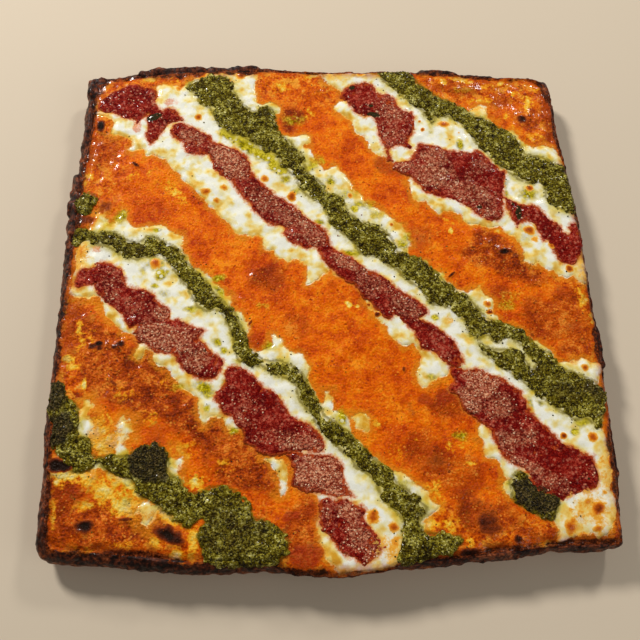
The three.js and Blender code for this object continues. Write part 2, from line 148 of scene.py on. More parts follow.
class Wiring:
    """Adds and links the nodes of one tree. Colours are given as display values from 0 to 255."""

    def __init__(self, tree):
        self.tree = tree

    def put(self, kind, **settings):
        node = self.tree.nodes.new(kind)
        for key, value in settings.items():
            setattr(node, key, value)
        return node

    def feed(self, socket, value):
        """Links another node's socket to this one, or sets this one to a number or a colour."""
        if isinstance(value, bpy.types.NodeSocket):
            self.tree.links.new(value, socket)
        elif isinstance(value, tuple):
            socket.default_value = photo_colour(*value)
        else:
            socket.default_value = value

    def mark(self, name):
        return self.put("ShaderNodeAttribute", attribute_name=name).outputs["Fac"]

    def pattern(self, kind, size, move):
        """A texture on object coordinates with features `size` millimetres wide, moved by some metres."""
        mapping = self.put("ShaderNodeMapping")
        mapping.inputs["Location"].default_value = move
        self.feed(mapping.inputs["Vector"], self.put("ShaderNodeTexCoord").outputs["Object"])
        node = self.put(kind)
        self.feed(node.inputs["Vector"], mapping.outputs["Vector"])
        node.inputs["Scale"].default_value = 1 / (size * MM)
        return node

    def noise(self, size, detail=3.0, roughness=0.55, shift=0.0):
        node = self.pattern("ShaderNodeTexNoise", size, (shift, shift * 0.7, shift * 0.3))
        node.inputs["Detail"].default_value = detail
        node.inputs["Roughness"].default_value = roughness
        return node.outputs["Fac"]

    def cells(self, size, shift=0.0):
        return self.pattern("ShaderNodeTexVoronoi", size, (shift, shift, shift)).outputs["Distance"]

    def math(self, operation, first, second, use_clamp=False):
        node = self.put("ShaderNodeMath", operation=operation, use_clamp=use_clamp)
        self.feed(node.inputs[0], first)
        self.feed(node.inputs[1], second)
        return node.outputs[0]

    def sum(self, *terms):
        """Adds terms, each a socket, a number, or a (socket, factor) pair."""
        total = None
        for term in terms:
            if isinstance(term, tuple):
                term = self.math("MULTIPLY", *term)
            total = term if total is None else self.math("ADD", total, term)
        return total

    def times(self, first, second):
        return self.math("MULTIPLY", first, second, use_clamp=True)

    def range(self, value, low, high, first, last, kind="LINEAR"):
        """A value that runs from `first` to `last` as the one given runs from `low` to `high`."""
        node = self.put("ShaderNodeMapRange", interpolation_type=kind, clamp=True)
        self.feed(node.inputs["Value"], value)
        for socket, number in zip(("From Min", "From Max", "To Min", "To Max"), (low, high, first, last)):
            node.inputs[socket].default_value = number
        return node.outputs["Result"]

    def step(self, value, low, high):
        """A soft step from 0 at `low` to 1 at `high`, falling where `low` is the larger."""
        if low < high:
            return self.range(value, low, high, 0, 1, "SMOOTHSTEP")
        return self.range(value, high, low, 1, 0, "SMOOTHSTEP")

    def shades(self, value, stops):
        """A colour ramp from stops, each a position and a colour's red, green and blue."""
        node = self.put("ShaderNodeValToRGB")
        ramp = node.color_ramp
        while len(ramp.elements) < len(stops):
            ramp.elements.new(0.5)
        for element, (position, *colour) in zip(ramp.elements, stops):
            element.position = position
            element.color = photo_colour(*colour)
        self.feed(node.inputs["Fac"], value)
        return node.outputs["Color"]

    def mix(self, share, first, second):
        """A colour that goes from the first to the second as the share goes from 0 to 1."""
        node = self.put("ShaderNodeMix", data_type="RGBA")
        self.feed(node.inputs[0], share)
        self.feed(node.inputs[6], first)
        self.feed(node.inputs[7], second)
        return node.outputs[2]

    def blend(self, share, first, second):
        """A number that goes from the first to the second as the share goes from 0 to 1."""
        node = self.put("ShaderNodeMix", data_type="FLOAT")
        self.feed(node.inputs[0], share)
        self.feed(node.inputs[2], first)
        self.feed(node.inputs[3], second)
        return node.outputs[0]


def food_material(name, look, depth, specular, wet_roughness=0.12):
    """A principled material. `look` gives its colour, roughness, relief up to `depth` mm, and wetness."""
    material = bpy.data.materials.new(name)
    material.use_nodes = True
    wiring = Wiring(material.node_tree)
    colour, roughness, height, wetness = look(wiring)
    shader = material.node_tree.nodes["Principled BSDF"]
    wiring.feed(shader.inputs["Base Color"], colour)
    wiring.feed(shader.inputs["Roughness"], roughness)
    wiring.feed(shader.inputs["Coat Weight"], wetness)
    shader.inputs["Coat Roughness"].default_value = wet_roughness
    shader.inputs["Specular IOR Level"].default_value = specular
    bump = wiring.put("ShaderNodeBump")
    bump.inputs["Distance"].default_value = depth * MM
    wiring.feed(bump.inputs["Height"], height)
    wiring.feed(shader.inputs["Normal"], bump.outputs["Normal"])
    return material


def crust_outline(tree):
    """The widest outline of the wall, read by rays shot at it from all round."""
    found = []
    for angle in np.linspace(0, 2 * math.pi, WIDEST_RAYS, endpoint=False):
        away = Vector((math.cos(angle), math.sin(angle), 0))
        hit = tree.ray_cast(away * RAY_REACH + Vector((0, 0, WIDEST_HEIGHT)), -away)[0]
        found.append((hit.x, hit.y))
    return evenly(np.array(found), CRUST_AROUND, closed=True)


crust_tree = BVHTree.FromBMesh(merged_solid("crust"))
outer_line = crust_outline(crust_tree)
core_line = outer_line * (1 - CRUST_CORE_INSET / HALF_SIDE)
profile_angles = np.linspace(-math.pi / 2, math.pi / 2, CRUST_PROFILE + 1)
crust_points = np.zeros((CRUST_PROFILE + 1, CRUST_AROUND, 3))
crust_ways = np.zeros_like(crust_points)
for k, (core, edge) in enumerate(zip(core_line, outer_line)):
    outward = (edge - core) / np.linalg.norm(edge - core)
    start = Vector((core[0], core[1], CRUST_CORE_HEIGHT))
    for row, angle in enumerate(profile_angles):
        lean = math.cos(angle)
        way = Vector((outward[0] * lean, outward[1] * lean, math.sin(angle)))
        crust_points[row, k] = crust_tree.ray_cast(start, way)[0]
        crust_ways[row, k] = way
crust_flat = crust_points.reshape(-1, 3)
crust_relief = 0.8 * cloud(crust_flat, 8, 5, 2) + 0.3 * cloud(crust_flat, 2.6, 6, 2)
crust_bubbles = np.clip(cloud(crust_flat, 5, 8), 0, 1) ** 1.5
crust_puff = soft_patches(CAUGHT, crust_flat[:, 0], crust_flat[:, 1], 0.3 * cloud(crust_flat, 9, 9, 2))
crust_puff = smooth_step(crust_puff, 0.45, 1) * (2.2 + 1.2 * cloud(crust_flat, 6, 10))
crust_puff *= smooth_step(crust_flat[:, 2], 7, 14)
crust_free = smooth_step(crust_flat[:, 2], 0.2, 2.5)
crust_lift = (crust_relief + 1.1 * crust_bubbles - 0.5) * crust_free + crust_puff
crust_flat = crust_flat + crust_ways.reshape(-1, 3) * crust_lift[:, None]
crust_flat[:, 2] = np.maximum(crust_flat[:, 2], 0)
crust_faces = []
for row in range(CRUST_PROFILE):
    for k in range(CRUST_AROUND):
        after = (k + 1) % CRUST_AROUND
        low = row * CRUST_AROUND
        high = low + CRUST_AROUND
        crust_faces.append((low + k, low + after, high + after, high + k))
crust_faces.append(tuple(range(CRUST_AROUND - 1, -1, -1)))
crust_faces.append(tuple(CRUST_PROFILE * CRUST_AROUND + k for k in range(CRUST_AROUND)))
crust = mesh_piece("crust_shell", crust_flat, crust_faces, {"height": crust_flat[:, 2]})


def crust_look(w):
    """A brown wall that burns towards the top, with a fried underside in patches."""
    mottle = w.sum((w.noise(7, 4), 0.5), (w.noise(2, 3, shift=3), 0.5))
    wall = w.shades(mottle, [
        (0.3, 66, 30, 14), (0.48, 124, 62, 26), (0.62, 176, 104, 46), (0.75, 206, 146, 80),
    ])
    burnt = w.shades(mottle, [
        (0.38, 18, 7, 3), (0.46, 42, 16, 7), (0.53, 82, 35, 15), (0.62, 138, 70, 36), (0.7, 190, 120, 78),
    ])
    top = w.step(w.sum(w.mark("height"), (w.noise(14, 3, shift=7), 9.0)), 14.5, 20.0)
    fried = w.shades(w.sum((w.noise(24, 3, shift=11), 0.4), (w.noise(4, 4, shift=3), 0.6)), [
        (0.37, 62, 28, 13), (0.45, 118, 59, 26), (0.53, 166, 95, 43), (0.63, 204, 140, 78),
    ])
    underside = w.step(w.mark("height"), 0.8, 0.0)
    colour = w.mix(underside, w.mix(top, wall, burnt), fried)
    roughness = w.range(w.noise(4, 2, shift=2), 0.35, 0.65, 0.34, 0.62)
    height = w.sum((w.noise(1.4, 4), 0.6), (w.noise(4, 3, shift=5), 0.4))
    wetness = w.times(w.step(w.noise(1.5, 2, shift=9), 0.54, 0.64), 0.3)
    return colour, roughness, height, wetness


crust.data.materials.append(food_material("baked crust", crust_look, depth=0.7, specular=0.15))
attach(crust, "root")
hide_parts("crust")


# Tomato sauce
# Thick crushed tomato sauce spooned on in stripes over the mozzarella: deep red, wet and lumpy, with a
# ragged edge. Hard cheese was grated over it, in some places so thickly that it turns dusty pink.
# Each stripe is a fine closed sheet over the outline that it has from above.

# All in millimetres: the grid that heights are read on, where the sides begin, and the sheets of sauce
SURVEY_STEP = 4.0
SURVEY_REACH = 148.0
RAY_START = 100.0
USUAL_RIM_HEIGHT = 14.0
NEAR_THE_SIDES = 140.0
FAR_INSIDE = 50.0
CRUST_CLEARANCE = 1.3
LEAST_WALL = 0.3
SAUCE_STEP = 0.62
SAUCE_MARGIN = 2.2
SAUCE_FLOOR = 0.7
SAUCE_BOTTOM = 19.4
SAUCE_TOP_LIMIT = 26.3
DRAPE_LIMIT = 12.8
TOMATO_RISE = 1.0
TOMATO_RAGGEDNESS = 1.0

# Outlines from above, in millimetres from the middle of the pan
TOMATO = {
    "tomato_corner": [[
        (-144, 121), (-145, 125), (-141, 129), (-136, 134), (-130, 137), (-125, 139.5), (-119, 139.5),
        (-116, 137), (-112, 138), (-108.5, 135), (-107, 131), (-108, 126), (-106, 121), (-103, 120),
        (-100, 122), (-96, 120.5), (-93, 117), (-90.5, 115), (-90, 112.5), (-93, 111.5), (-97, 111),
        (-100, 109), (-102, 107), (-103.5, 102), (-106, 98), (-110, 94.5), (-112, 97), (-113.5, 103),
        (-112.5, 108), (-114, 113), (-112, 117), (-115, 114.5), (-117, 112), (-119.5, 108), (-121, 112.5),
        (-126, 113), (-131, 115), (-137, 117), (-141, 118),
    ]],
    "tomato_middle": [[
        (-98, 106), (-97, 109), (-93, 110.5), (-88, 110), (-84, 108), (-80, 106), (-76, 103.5),
        (-73, 102), (-72, 98), (-69, 96.5), (-64, 94.5), (-58, 92.5), (-54, 90), (-50, 87), (-47.5, 82),
        (-47, 76), (-44, 72), (-41, 68), (-38, 66), (-34, 61.5), (-31, 58.5), (-27, 57), (-22, 53),
        (-18, 50), (-15, 46), (-12, 43), (-9, 41), (-6, 39), (-3, 36), (0, 33), (0, 30), (1, 26), (4, 23),
        (7, 21), (10, 19), (14, 17), (18, 13), (21, 10), (24, 8), (28, 7), (32, 4), (35, 2), (38, -1),
        (41, -4), (45, -7), (49, -9), (53, -12), (56, -15), (57, -18), (55, -20), (52, -22), (56, -24),
        (61, -27), (66, -31), (70, -34), (73, -40), (74.5, -45), (75, -49), (71, -52), (67, -50),
        (62, -46), (57, -42.5), (51, -40), (49, -35), (48, -31), (45, -28), (42, -24), (40, -20),
        (37, -20), (35, -22), (32, -22), (29, -19), (27, -17), (25, -14), (22, -10), (19, -8), (17, -5),
        (14, -2), (13, 0), (10, 1), (6, 4), (3, 7), (0, 10), (-3, 13), (-5, 17), (-6, 20), (-7, 23),
        (-9, 24), (-13, 23.5), (-17, 25), (-20, 26), (-23, 28), (-26, 31), (-28, 34), (-27, 37),
        (-30, 38.5), (-34, 39), (-38, 41), (-41, 44), (-44, 47), (-47, 51), (-49, 54), (-52, 57),
        (-55, 61), (-57, 64), (-59, 68.5), (-64, 72), (-68, 75), (-70, 77), (-70.5, 81), (-73, 85),
        (-74, 88), (-78, 87), (-82, 87.5), (-87, 88.5), (-89, 92), (-91, 97), (-95, 99), (-98, 102),
    ]],
    "tomato_back": [[
        (11, 134), (13, 137), (17, 140), (22, 141), (27, 142.5), (31, 141), (34, 138), (34, 135),
        (37, 133), (41, 134), (45, 131), (47, 126), (50, 122), (54, 120), (57, 120), (58, 116), (57, 111),
        (57, 106), (55, 103), (53, 100), (53, 97), (55, 94), (54, 91.5), (50, 94), (47, 95), (44, 94),
        (41, 93), (40, 89), (42, 84), (38, 83), (38, 88), (38, 92), (36, 96), (34, 101), (33, 106),
        (33, 111), (31, 115), (29, 116), (25, 116), (22, 117), (19, 119), (17, 123), (14, 127), (12, 130),
        (8, 130),
    ]],
    "tomato_right": [[
        (59, 97), (63, 96.5), (68, 96), (73, 94), (80, 91.5), (85, 91), (89, 90.5), (93, 89.5), (95, 92),
        (98, 92), (100, 90), (103, 87), (105, 83), (108, 80), (110, 77.5), (113, 77), (114, 74),
        (112, 70), (111, 65), (110, 60), (110, 56), (109, 51), (108.5, 46), (107, 42.5), (103, 41),
        (98, 42), (94, 44), (91, 46), (88, 50), (84, 53), (79, 56), (74, 57.5), (69, 58.5), (64, 59.5),
        (60, 62), (58, 66), (55, 68), (53, 72), (47, 75), (42, 79), (43, 83), (47, 83), (51, 84),
        (54, 86), (56, 89), (57, 93),
    ]],
    "tomato_right_edge": [[
        (110, 58), (114, 56), (119, 53), (123, 52), (127, 52.5), (131, 51), (133, 48), (135, 45),
        (138, 42), (141, 40), (143, 38), (145, 34), (147, 32), (149, 34), (148, 37), (150, 39.5),
        (153, 39.5), (155, 36), (155, 31), (156, 27), (155, 23), (153, 19), (152, 15), (150, 12),
        (146, 11), (142, 12.5), (139, 15), (137, 19), (136, 23), (134, 27), (131, 27), (130, 31),
        (128, 36), (127, 39), (123, 41), (119, 40), (116.5, 37), (115, 40), (113, 44), (112, 48),
        (111, 53),
    ]],
    "tomato_left": [[
        (-150, 1), (-149, 5), (-147, 11), (-144, 12), (-142, 10.5), (-139, 12), (-137, 15), (-134, 15.5),
        (-130, 14.5), (-127, 14), (-125, 12), (-122.5, 10), (-121, 7), (-120, 3), (-119, 0), (-115, -1),
        (-112, -1.5), (-108, -2), (-105, -4), (-102, -6), (-101, -9), (-99, -11), (-96, -12),
        (-93.5, -14), (-93, -18), (-93, -21), (-88, -21), (-84, -22.5), (-80, -25), (-77, -26),
        (-74, -26), (-72, -28), (-75, -31), (-76, -34), (-73, -36), (-70, -39), (-66, -42.5), (-63, -45),
        (-62, -48), (-63, -52), (-65, -56), (-69, -58), (-73, -57.5), (-77, -56), (-81, -54), (-85, -51),
        (-88, -47), (-90, -43), (-95, -42), (-100, -41), (-104, -38), (-107, -35), (-110, -35),
        (-112, -33), (-114, -29), (-112, -25), (-116, -26), (-118, -23), (-121, -18), (-124, -15),
        (-128, -12), (-131, -9.5), (-134, -7), (-136, -3), (-138, 0), (-141, 0), (-144, -1), (-147, -2),
    ]],
    "tomato_left_middle": [[
        (-60, -50), (-56, -49), (-52, -50), (-48, -52), (-45, -55), (-42, -59), (-39, -62), (-34, -64.5),
        (-31, -67), (-29, -70), (-27, -74), (-24, -78), (-19, -81), (-15, -83), (-12, -85), (-9, -88),
        (-7, -91), (-6, -95), (-7, -98), (-11, -99), (-17, -98), (-22, -98), (-27, -99), (-33, -100),
        (-38, -99.5), (-42, -97), (-46, -95), (-50, -93), (-50, -89), (-51, -85), (-54, -83), (-57, -79),
        (-61, -77), (-64, -73), (-67, -69), (-66, -65), (-63, -62), (-61, -59), (-62, -54),
    ]],
    "tomato_left_low": [[
        (-27, -99.5), (-22, -98.5), (-17, -99), (-11, -99.5), (-6, -100), (-1, -101), (2, -103),
        (4, -106), (4, -111), (5, -115), (6, -119), (9, -123), (4, -123), (0, -123), (-4, -122),
        (-8, -121), (-12, -120), (-16, -120), (-20, -119), (-24, -116), (-24, -112), (-23, -107),
        (-25, -103),
    ]],
    "tomato_front": [[
        (-10, -124), (-6, -122.5), (-1, -124), (4, -123.5), (9, -126), (13, -127.5), (15, -130),
        (14, -134), (17, -138), (20, -142), (23, -146), (24, -149), (22, -153), (18, -155), (15, -157),
        (13, -158), (10, -156), (8, -154), (4, -153), (0, -150), (-3, -146), (-7, -141), (-10, -137),
        (-10, -131),
    ]],
    "tomato_front_right": [[
        (67, -51), (71, -52), (75, -53), (80, -52), (86, -53), (91, -56), (95, -57), (99, -59),
        (103, -63), (107, -66), (109, -71), (110, -76), (112, -80), (116, -84), (120, -88), (123, -92),
        (126, -96), (131, -98), (135, -100), (140, -102), (143, -103), (143.5, -107), (144.5, -112),
        (145, -117), (142, -121), (138, -123), (133, -123), (130, -124), (126, -126), (122, -127),
        (119, -127), (112, -124), (107, -121), (104, -117), (106, -114), (103, -110), (99, -108),
        (95, -105), (91, -102), (90, -97), (88, -93), (87, -89), (84, -85), (80, -82), (77, -80),
        (73, -76), (71, -71), (70, -67), (66, -66), (65, -63), (69, -61), (69, -58), (67, -55),
    ]],
}
# Where cheese was grated on thickly, as x, y, radius along, radius across, amount and turn in degrees
DUSTING = [
    (-62, 84, 17, 9, 0.95, -42), (-84, 100, 8, 6, 0.6, -40), (-40, 56, 14, 9, 0.5, -45),
    (-20, 44, 12, 9, 0.55, -40), (-10, 33, 12, 9, 0.6, -40), (9, 14, 10, 4, 0.8, -38),
    (24, 1, 12, 8, 0.5, -40), (44, -14, 12, 8, 0.5, -45), (43, 120, 11, 12, 0.55), (44, 100, 9, 9, 0.5),
    (68, 86, 10, 9, 0.75), (66, 74, 14, 9, 0.75), (88, 62, 16, 8, 0.6, -20), (98, 78, 10, 6, 0.35),
    (98, 50, 9, 8, 0.45), (48, 79, 8, 4, 0.7), (-128, 4, 8, 8, 0.35), (-128, -8, 7, 6, 0.45),
    (-112, -14, 9, 9, 0.4), (-98, -17, 6, 7, 0.6), (-95, -33, 18, 9, 0.85, -25), (-110, -28, 6, 6, 0.75),
    (-80, -30, 8, 6, 0.45), (-77, -46, 9, 7, 0.75), (-50, -75, 10, 10, 0.3), (-18, -93, 12, 5, 0.65),
    (-35, -90, 14, 5, 0.4), (-10, -110, 18, 14, 0.95), (-2, -121, 10, 3, 0.9), (6, -130, 7, 6, 0.8),
    (12, -145, 13, 7, 0.65, -45), (-5, -131, 6, 6, 0.3), (84, -60, 10, 10, 1.2), (77, -70, 7, 9, 1.1),
    (92, -74, 11, 8, 0.6), (104, -108, 12, 4, 0.75, -25), (106, -92, 8, 7, 0.5),
    (118, -117, 12, 5, 0.45, -25), (94, -95, 5, 10, 0.6, 30), (-125, 127, 6, 5, 0.3),
    (-109, 130, 3, 6, 0.35), (-104, 113, 6, 6, 0.15),
]
# Leaves and burnt bits in the sauce, in the same form
TOMATO_BITS = [
    (-109, 114.5, 5.5, 2.4, 1, 20), (18, 138, 2.2, 2, 0.8), (31, 117, 4, 2.4, 1),
    (30, 124, 1.6, 1.4, 0.8), (118, 47, 1.8, 4.6, 1), (115, 53, 1.2, 1.4, 0.7), (-71, -40, 4, 1.6, 0.5),
    (54, 80, 1.2, 1, 0.6), (94, 51, 3, 1.6, 0.6), (-86, -23, 1.4, 1.2, 0.5), (138, -116, 0.9, 0.9, 0.8),
    (112, -122, 10, 3, 0.5, -22),
]


def depth_inside(outlines, x, y):
    """Distance in from the nearest edge of the outlines, and below zero outside them all."""
    deepest = np.full(len(x), -np.inf)
    for outline in outlines:
        line = np.array(outline, float) + PAN_MIDDLE
        nearest = np.full(len(x), np.inf)
        inside = np.zeros(len(x), bool)
        for (ax, ay), (bx, by) in zip(line, np.roll(line, -1, axis=0)):
            run, rise = bx - ax, by - ay
            share = np.clip(((x - ax) * run + (y - ay) * rise) / (run * run + rise * rise), 0, 1)
            nearest = np.minimum(nearest, (x - ax - share * run) ** 2 + (y - ay - share * rise) ** 2)
            if rise:
                inside ^= ((ay > y) != (by > y)) & (x < ax + (y - ay) * run / rise)
        deepest = np.maximum(deepest, np.where(inside, 1, -1) * np.sqrt(nearest))
    return deepest


def survey_heights(name):
    """Heights of a solid's top on a coarse grid, read by rays from above, or further in where they miss."""
    tree = BVHTree.FromBMesh(merged_solid(name))

    def height(x, y):
        hit = tree.ray_cast(Vector((x, y, RAY_START)), Vector((0, 0, -1)))[0]
        return hit.z if hit else height(x * 0.98, y * 0.98)

    lines = np.arange(-SURVEY_REACH, SURVEY_REACH + 1, SURVEY_STEP)
    return np.array([[height(x, y) for x in lines] for y in lines])


def cheese_outline(name):
    """The lowest ring of a slab's points, in order around the middle."""
    solid = merged_solid(name)
    lowest = min(v.co.z for v in solid.verts)
    ring = np.array([v.co.xy for v in solid.verts if v.co.z < lowest + 0.01 and v.co.xy.length > 20])
    solid.free()
    return ring[np.argsort(np.arctan2(ring[:, 1], ring[:, 0]))]


def rim_height(x, y):
    """Height of the crust under a point, which lies on the rim."""
    hit = crust_tree.ray_cast(Vector((x, y, RAY_START)), Vector((0, 0, -1)))[0]
    return hit.z if hit else USUAL_RIM_HEIGHT


cheese_survey = survey_heights("baked_cheese")
cheese_ring = cheese_outline("baked_cheese")


def depth_within(line, x, y):
    """Distance in from a line that runs all round the pizza, worked out only near the sides."""
    depth = np.full(len(x), FAR_INSIDE)
    near = np.nonzero(np.maximum(np.abs(x), np.abs(y)) > NEAR_THE_SIDES)[0]
    depth[near] = depth_inside([line - PAN_MIDDLE], x[near], y[near])
    return depth


def level(x, y):
    """Points at height zero, to read noise at."""
    return np.stack([x, y, np.zeros(len(x))], axis=1)


def ground(x, y):
    """Height of the baked surface, with its slow lumps, that all toppings follow."""
    column = (np.clip(x, -SURVEY_REACH, SURVEY_REACH - 0.01) + SURVEY_REACH) / SURVEY_STEP
    row = (np.clip(y, -SURVEY_REACH, SURVEY_REACH - 0.01) + SURVEY_REACH) / SURVEY_STEP
    i, j = np.floor(column).astype(int), np.floor(row).astype(int)
    u, v = column - i, row - j
    low = cheese_survey[j, i] * (1 - u) + cheese_survey[j, i + 1] * u
    high = cheese_survey[j + 1, i] * (1 - u) + cheese_survey[j + 1, i + 1] * u
    return low * (1 - v) + high * v + 0.5 * cloud(level(x, y), 17, 21, 2)


def sheet_over(outlines, step, margin):
    """A square grid over outlines and `margin` round them: its x, y, depth inside and faces."""
    corners = np.array([point for outline in outlines for point in outline]) + PAN_MIDDLE
    low = corners.min(0) - margin - step
    high = corners.max(0) + margin + step
    columns = int((high[0] - low[0]) / step) + 1
    rows = int((high[1] - low[1]) / step) + 1
    x, y = np.meshgrid(low[0] + step * np.arange(columns), low[1] + step * np.arange(rows))
    x, y = x.ravel(), y.ravel()
    depth = depth_inside(outlines, x, y)
    kept = (depth > -margin) & (depth_within(outer_line, x, y) > CRUST_CLEARANCE)
    kept = kept.reshape(rows, columns)
    cells = kept[:-1, :-1] & kept[1:, :-1] & kept[:-1, 1:] & kept[1:, 1:]
    for _ in range(3):
        pinch = cells[:-1, :-1] & cells[1:, 1:] & ~cells[1:, :-1] & ~cells[:-1, 1:]
        cells[1:, :-1] |= pinch
        pinch = cells[1:, :-1] & cells[:-1, 1:] & ~cells[:-1, :-1] & ~cells[1:, 1:]
        cells[:-1, :-1] |= pinch
    j, i = np.nonzero(cells)
    corner = j * columns + i
    faces = np.stack([corner, corner + 1, corner + columns + 1, corner + columns], axis=1)
    used, renumbered = np.unique(faces, return_inverse=True)
    return x[used], y[used], depth[used], renumbered.reshape(-1, 4).tolist()


def close_below(piece, height):
    """Closes an open sheet with walls and flat faces underneath.

    The new points and faces come in an order that changes from run to run, so they are put in rows.
    """
    body = bmesh.new()
    body.from_mesh(piece.data)
    sheet_points, sheet_faces = len(body.verts), len(body.faces)
    made = bmesh.ops.extrude_edge_only(body, edges=[e for e in body.edges if e.is_boundary])["geom"]
    for item in made:
        if isinstance(item, bmesh.types.BMVert):
            item.co.z = min(height, item.co.z / MM - LEAST_WALL) * MM
    bmesh.ops.holes_fill(body, edges=[e for e in body.edges if e.is_boundary], sides=0)
    bmesh.ops.recalc_face_normals(body, faces=body.faces)
    body.verts.index_update()
    body.faces.index_update()
    rows = Vector((1e3, 1e6, 0))
    body.verts.sort(key=lambda v: v.index if v.index < sheet_points else 1e6 + v.co.dot(rows))
    body.faces.sort(
        key=lambda f: f.index if f.index < sheet_faces else 1e6 + f.calc_center_median().dot(rows))
    body.to_mesh(piece.data)
    body.free()


def sauce_piece(name, outlines, rise, raggedness, relief, marks, material):
    """A domed, ragged stripe of sauce over its outline, with the values that colour it."""
    x, y, depth, faces = sheet_over(outlines, SAUCE_STEP, SAUCE_MARGIN)
    flat = level(x, y)
    ragged = depth + raggedness * (1.3 * cloud(flat, 5, 61, 2) + 0.9 * cloud(flat, 2.2, 63)) - 0.2
    ragged = np.minimum(ragged, 1.5 * depth_within(outer_line, x, y) - 2.6 + 0.9 * cloud(flat, 3, 69))
    spread = rise * np.clip(0.75 + 0.5 * cloud(flat, 10, 65, 2), 0.2, 1.4)
    dome = spread * (1 - np.exp(-np.clip(ragged, 0, 20) / 2.4)) + 1.8 * np.minimum(ragged, 0)
    dome -= 3.0 * smooth_step(depth, -1.0, -SAUCE_MARGIN)
    dome -= 2.2 * smooth_step(cloud(flat, 4, 67, 2) - 0.12 * np.clip(depth, 0, 9), 0.5, 0.85)
    z = ground(x, y)
    on_cheese = depth_within(cheese_ring, x, y)
    past = np.nonzero(on_cheese < 1.5)[0]
    rim_z = np.array([rim_height(*spot) for spot in zip(x[past], y[past])])
    z[past] += smooth_step(on_cheese[past], 1.5, -1.5) * (rim_z - z[past])
    z += SAUCE_FLOOR + dome + relief(flat) * smooth_step(ragged, -0.4, 1.2)
    points = np.stack([x, y, np.clip(z, DRAPE_LIMIT, SAUCE_TOP_LIMIT)], axis=1)
    values = marks(x, y, ragged)
    values["thin"] *= smooth_step(on_cheese, 0, 4)
    piece = mesh_piece(name + "_sauce", points, faces, values)
    close_below(piece, SAUCE_BOTTOM)
    piece.data.materials.append(material)
    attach(piece, "root")
    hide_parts(name)
    return piece


def tomato_relief(flat):
    """Lumps of crushed tomato."""
    return 0.36 * cloud(flat, 4.5, 73, 2) + 0.2 * cloud(flat, 1.8, 75)


def tomato_marks(x, y, depth):
    """Where the sauce is dusted with cheese, holds bits, is thin, and takes crumbs."""
    flat = level(x, y)
    dust = soft_patches(DUSTING, x, y, 0.3 * cloud(flat, 5, 77, 2)) + 0.14 + 0.2 * cloud(flat, 9, 71, 2)
    dust = dust * smooth_step(depth, -0.5, 2.0)
    bits = soft_patches(TOMATO_BITS, x, y, 0.3 * cloud(flat, 2.5, 79))
    return {
        "dust": np.clip(dust, 0, 1.2),
        "bits": bits,
        "thin": smooth_step(depth, 2.6, -0.4),
        "crumbs": np.clip(dust - 0.05, 0.02, 1) * (depth > 0.3),
    }


def tomato_look(w):
    """Red pulp under pink grated cheese, thinner and more orange at the edge."""
    middle = w.noise(3, 4, 0.6)
    fine = w.noise(1.0, 3, 0.65, shift=0.4)
    pulp = w.shades(w.sum((middle, 0.35), (w.noise(11, 2, shift=0.2), 0.25), (fine, 0.4)), [
        (0.39, 84, 0, 0), (0.46, 110, 2, 0), (0.5, 128, 12, 2), (0.55, 158, 40, 24), (0.63, 206, 96, 72),
    ])
    powder = w.shades(w.noise(1.3, 2, shift=0.7), [
        (0.36, 122, 32, 14), (0.5, 184, 96, 62), (0.62, 242, 178, 136),
    ])
    cover = w.sum((w.mark("dust"), 0.9), (fine, 1.4), (middle, 0.8))
    red = w.mix(w.times(w.step(cover, 1.36, 2.1), 0.85), pulp, powder)
    gratings = w.step(w.noise(4, 2, shift=1.4), 0.42, 0.54)
    grains = w.times(w.step(w.cells(2.3, shift=0.3), 0.5, 0.15), gratings)
    red = w.mix(w.times(grains, 0.75), red, (198, 112, 86))
    shallow = w.sum(w.mark("thin"), (fine, 0.8), (middle, 0.8))
    red = w.mix(w.times(w.step(shallow, 1.1, 1.7), 0.6), red, (196, 84, 26))
    colour = w.mix(w.step(w.sum(w.mark("bits"), (w.noise(1.2, 2), 0.6)), 0.6, 0.95), red, (50, 42, 16))
    roughness = w.range(w.noise(2.5, 2), 0.35, 0.65, 0.25, 0.5)
    height = w.sum((w.noise(1.0, 3), 0.6), (w.noise(2.6, 3, shift=0.5), 0.4))
    wetness = w.times(w.step(w.noise(1.3, 2, shift=2.2), 0.52, 0.6), 0.28)
    return colour, roughness, height, wetness


tomato_material = food_material("crushed tomato sauce", tomato_look, depth=1.8, specular=0.05)
tomato_pieces = [
    sauce_piece(
        name, outlines, TOMATO_RISE, TOMATO_RAGGEDNESS, tomato_relief, tomato_marks, tomato_material)
    for name, outlines in TOMATO.items()
]


# Basil pesto
# Ground basil, nuts and oil, spooned on in stripes beside the tomato sauce: a coarse dark green paste,
# nearly black where it caught in the oven, with pale bits of nut and cheese in it.
# It is made as the tomato sauce is, with little domes all over for the ground leaves and nuts.
PESTO_RISE = 1.35
PESTO_RAGGEDNESS = 1.5

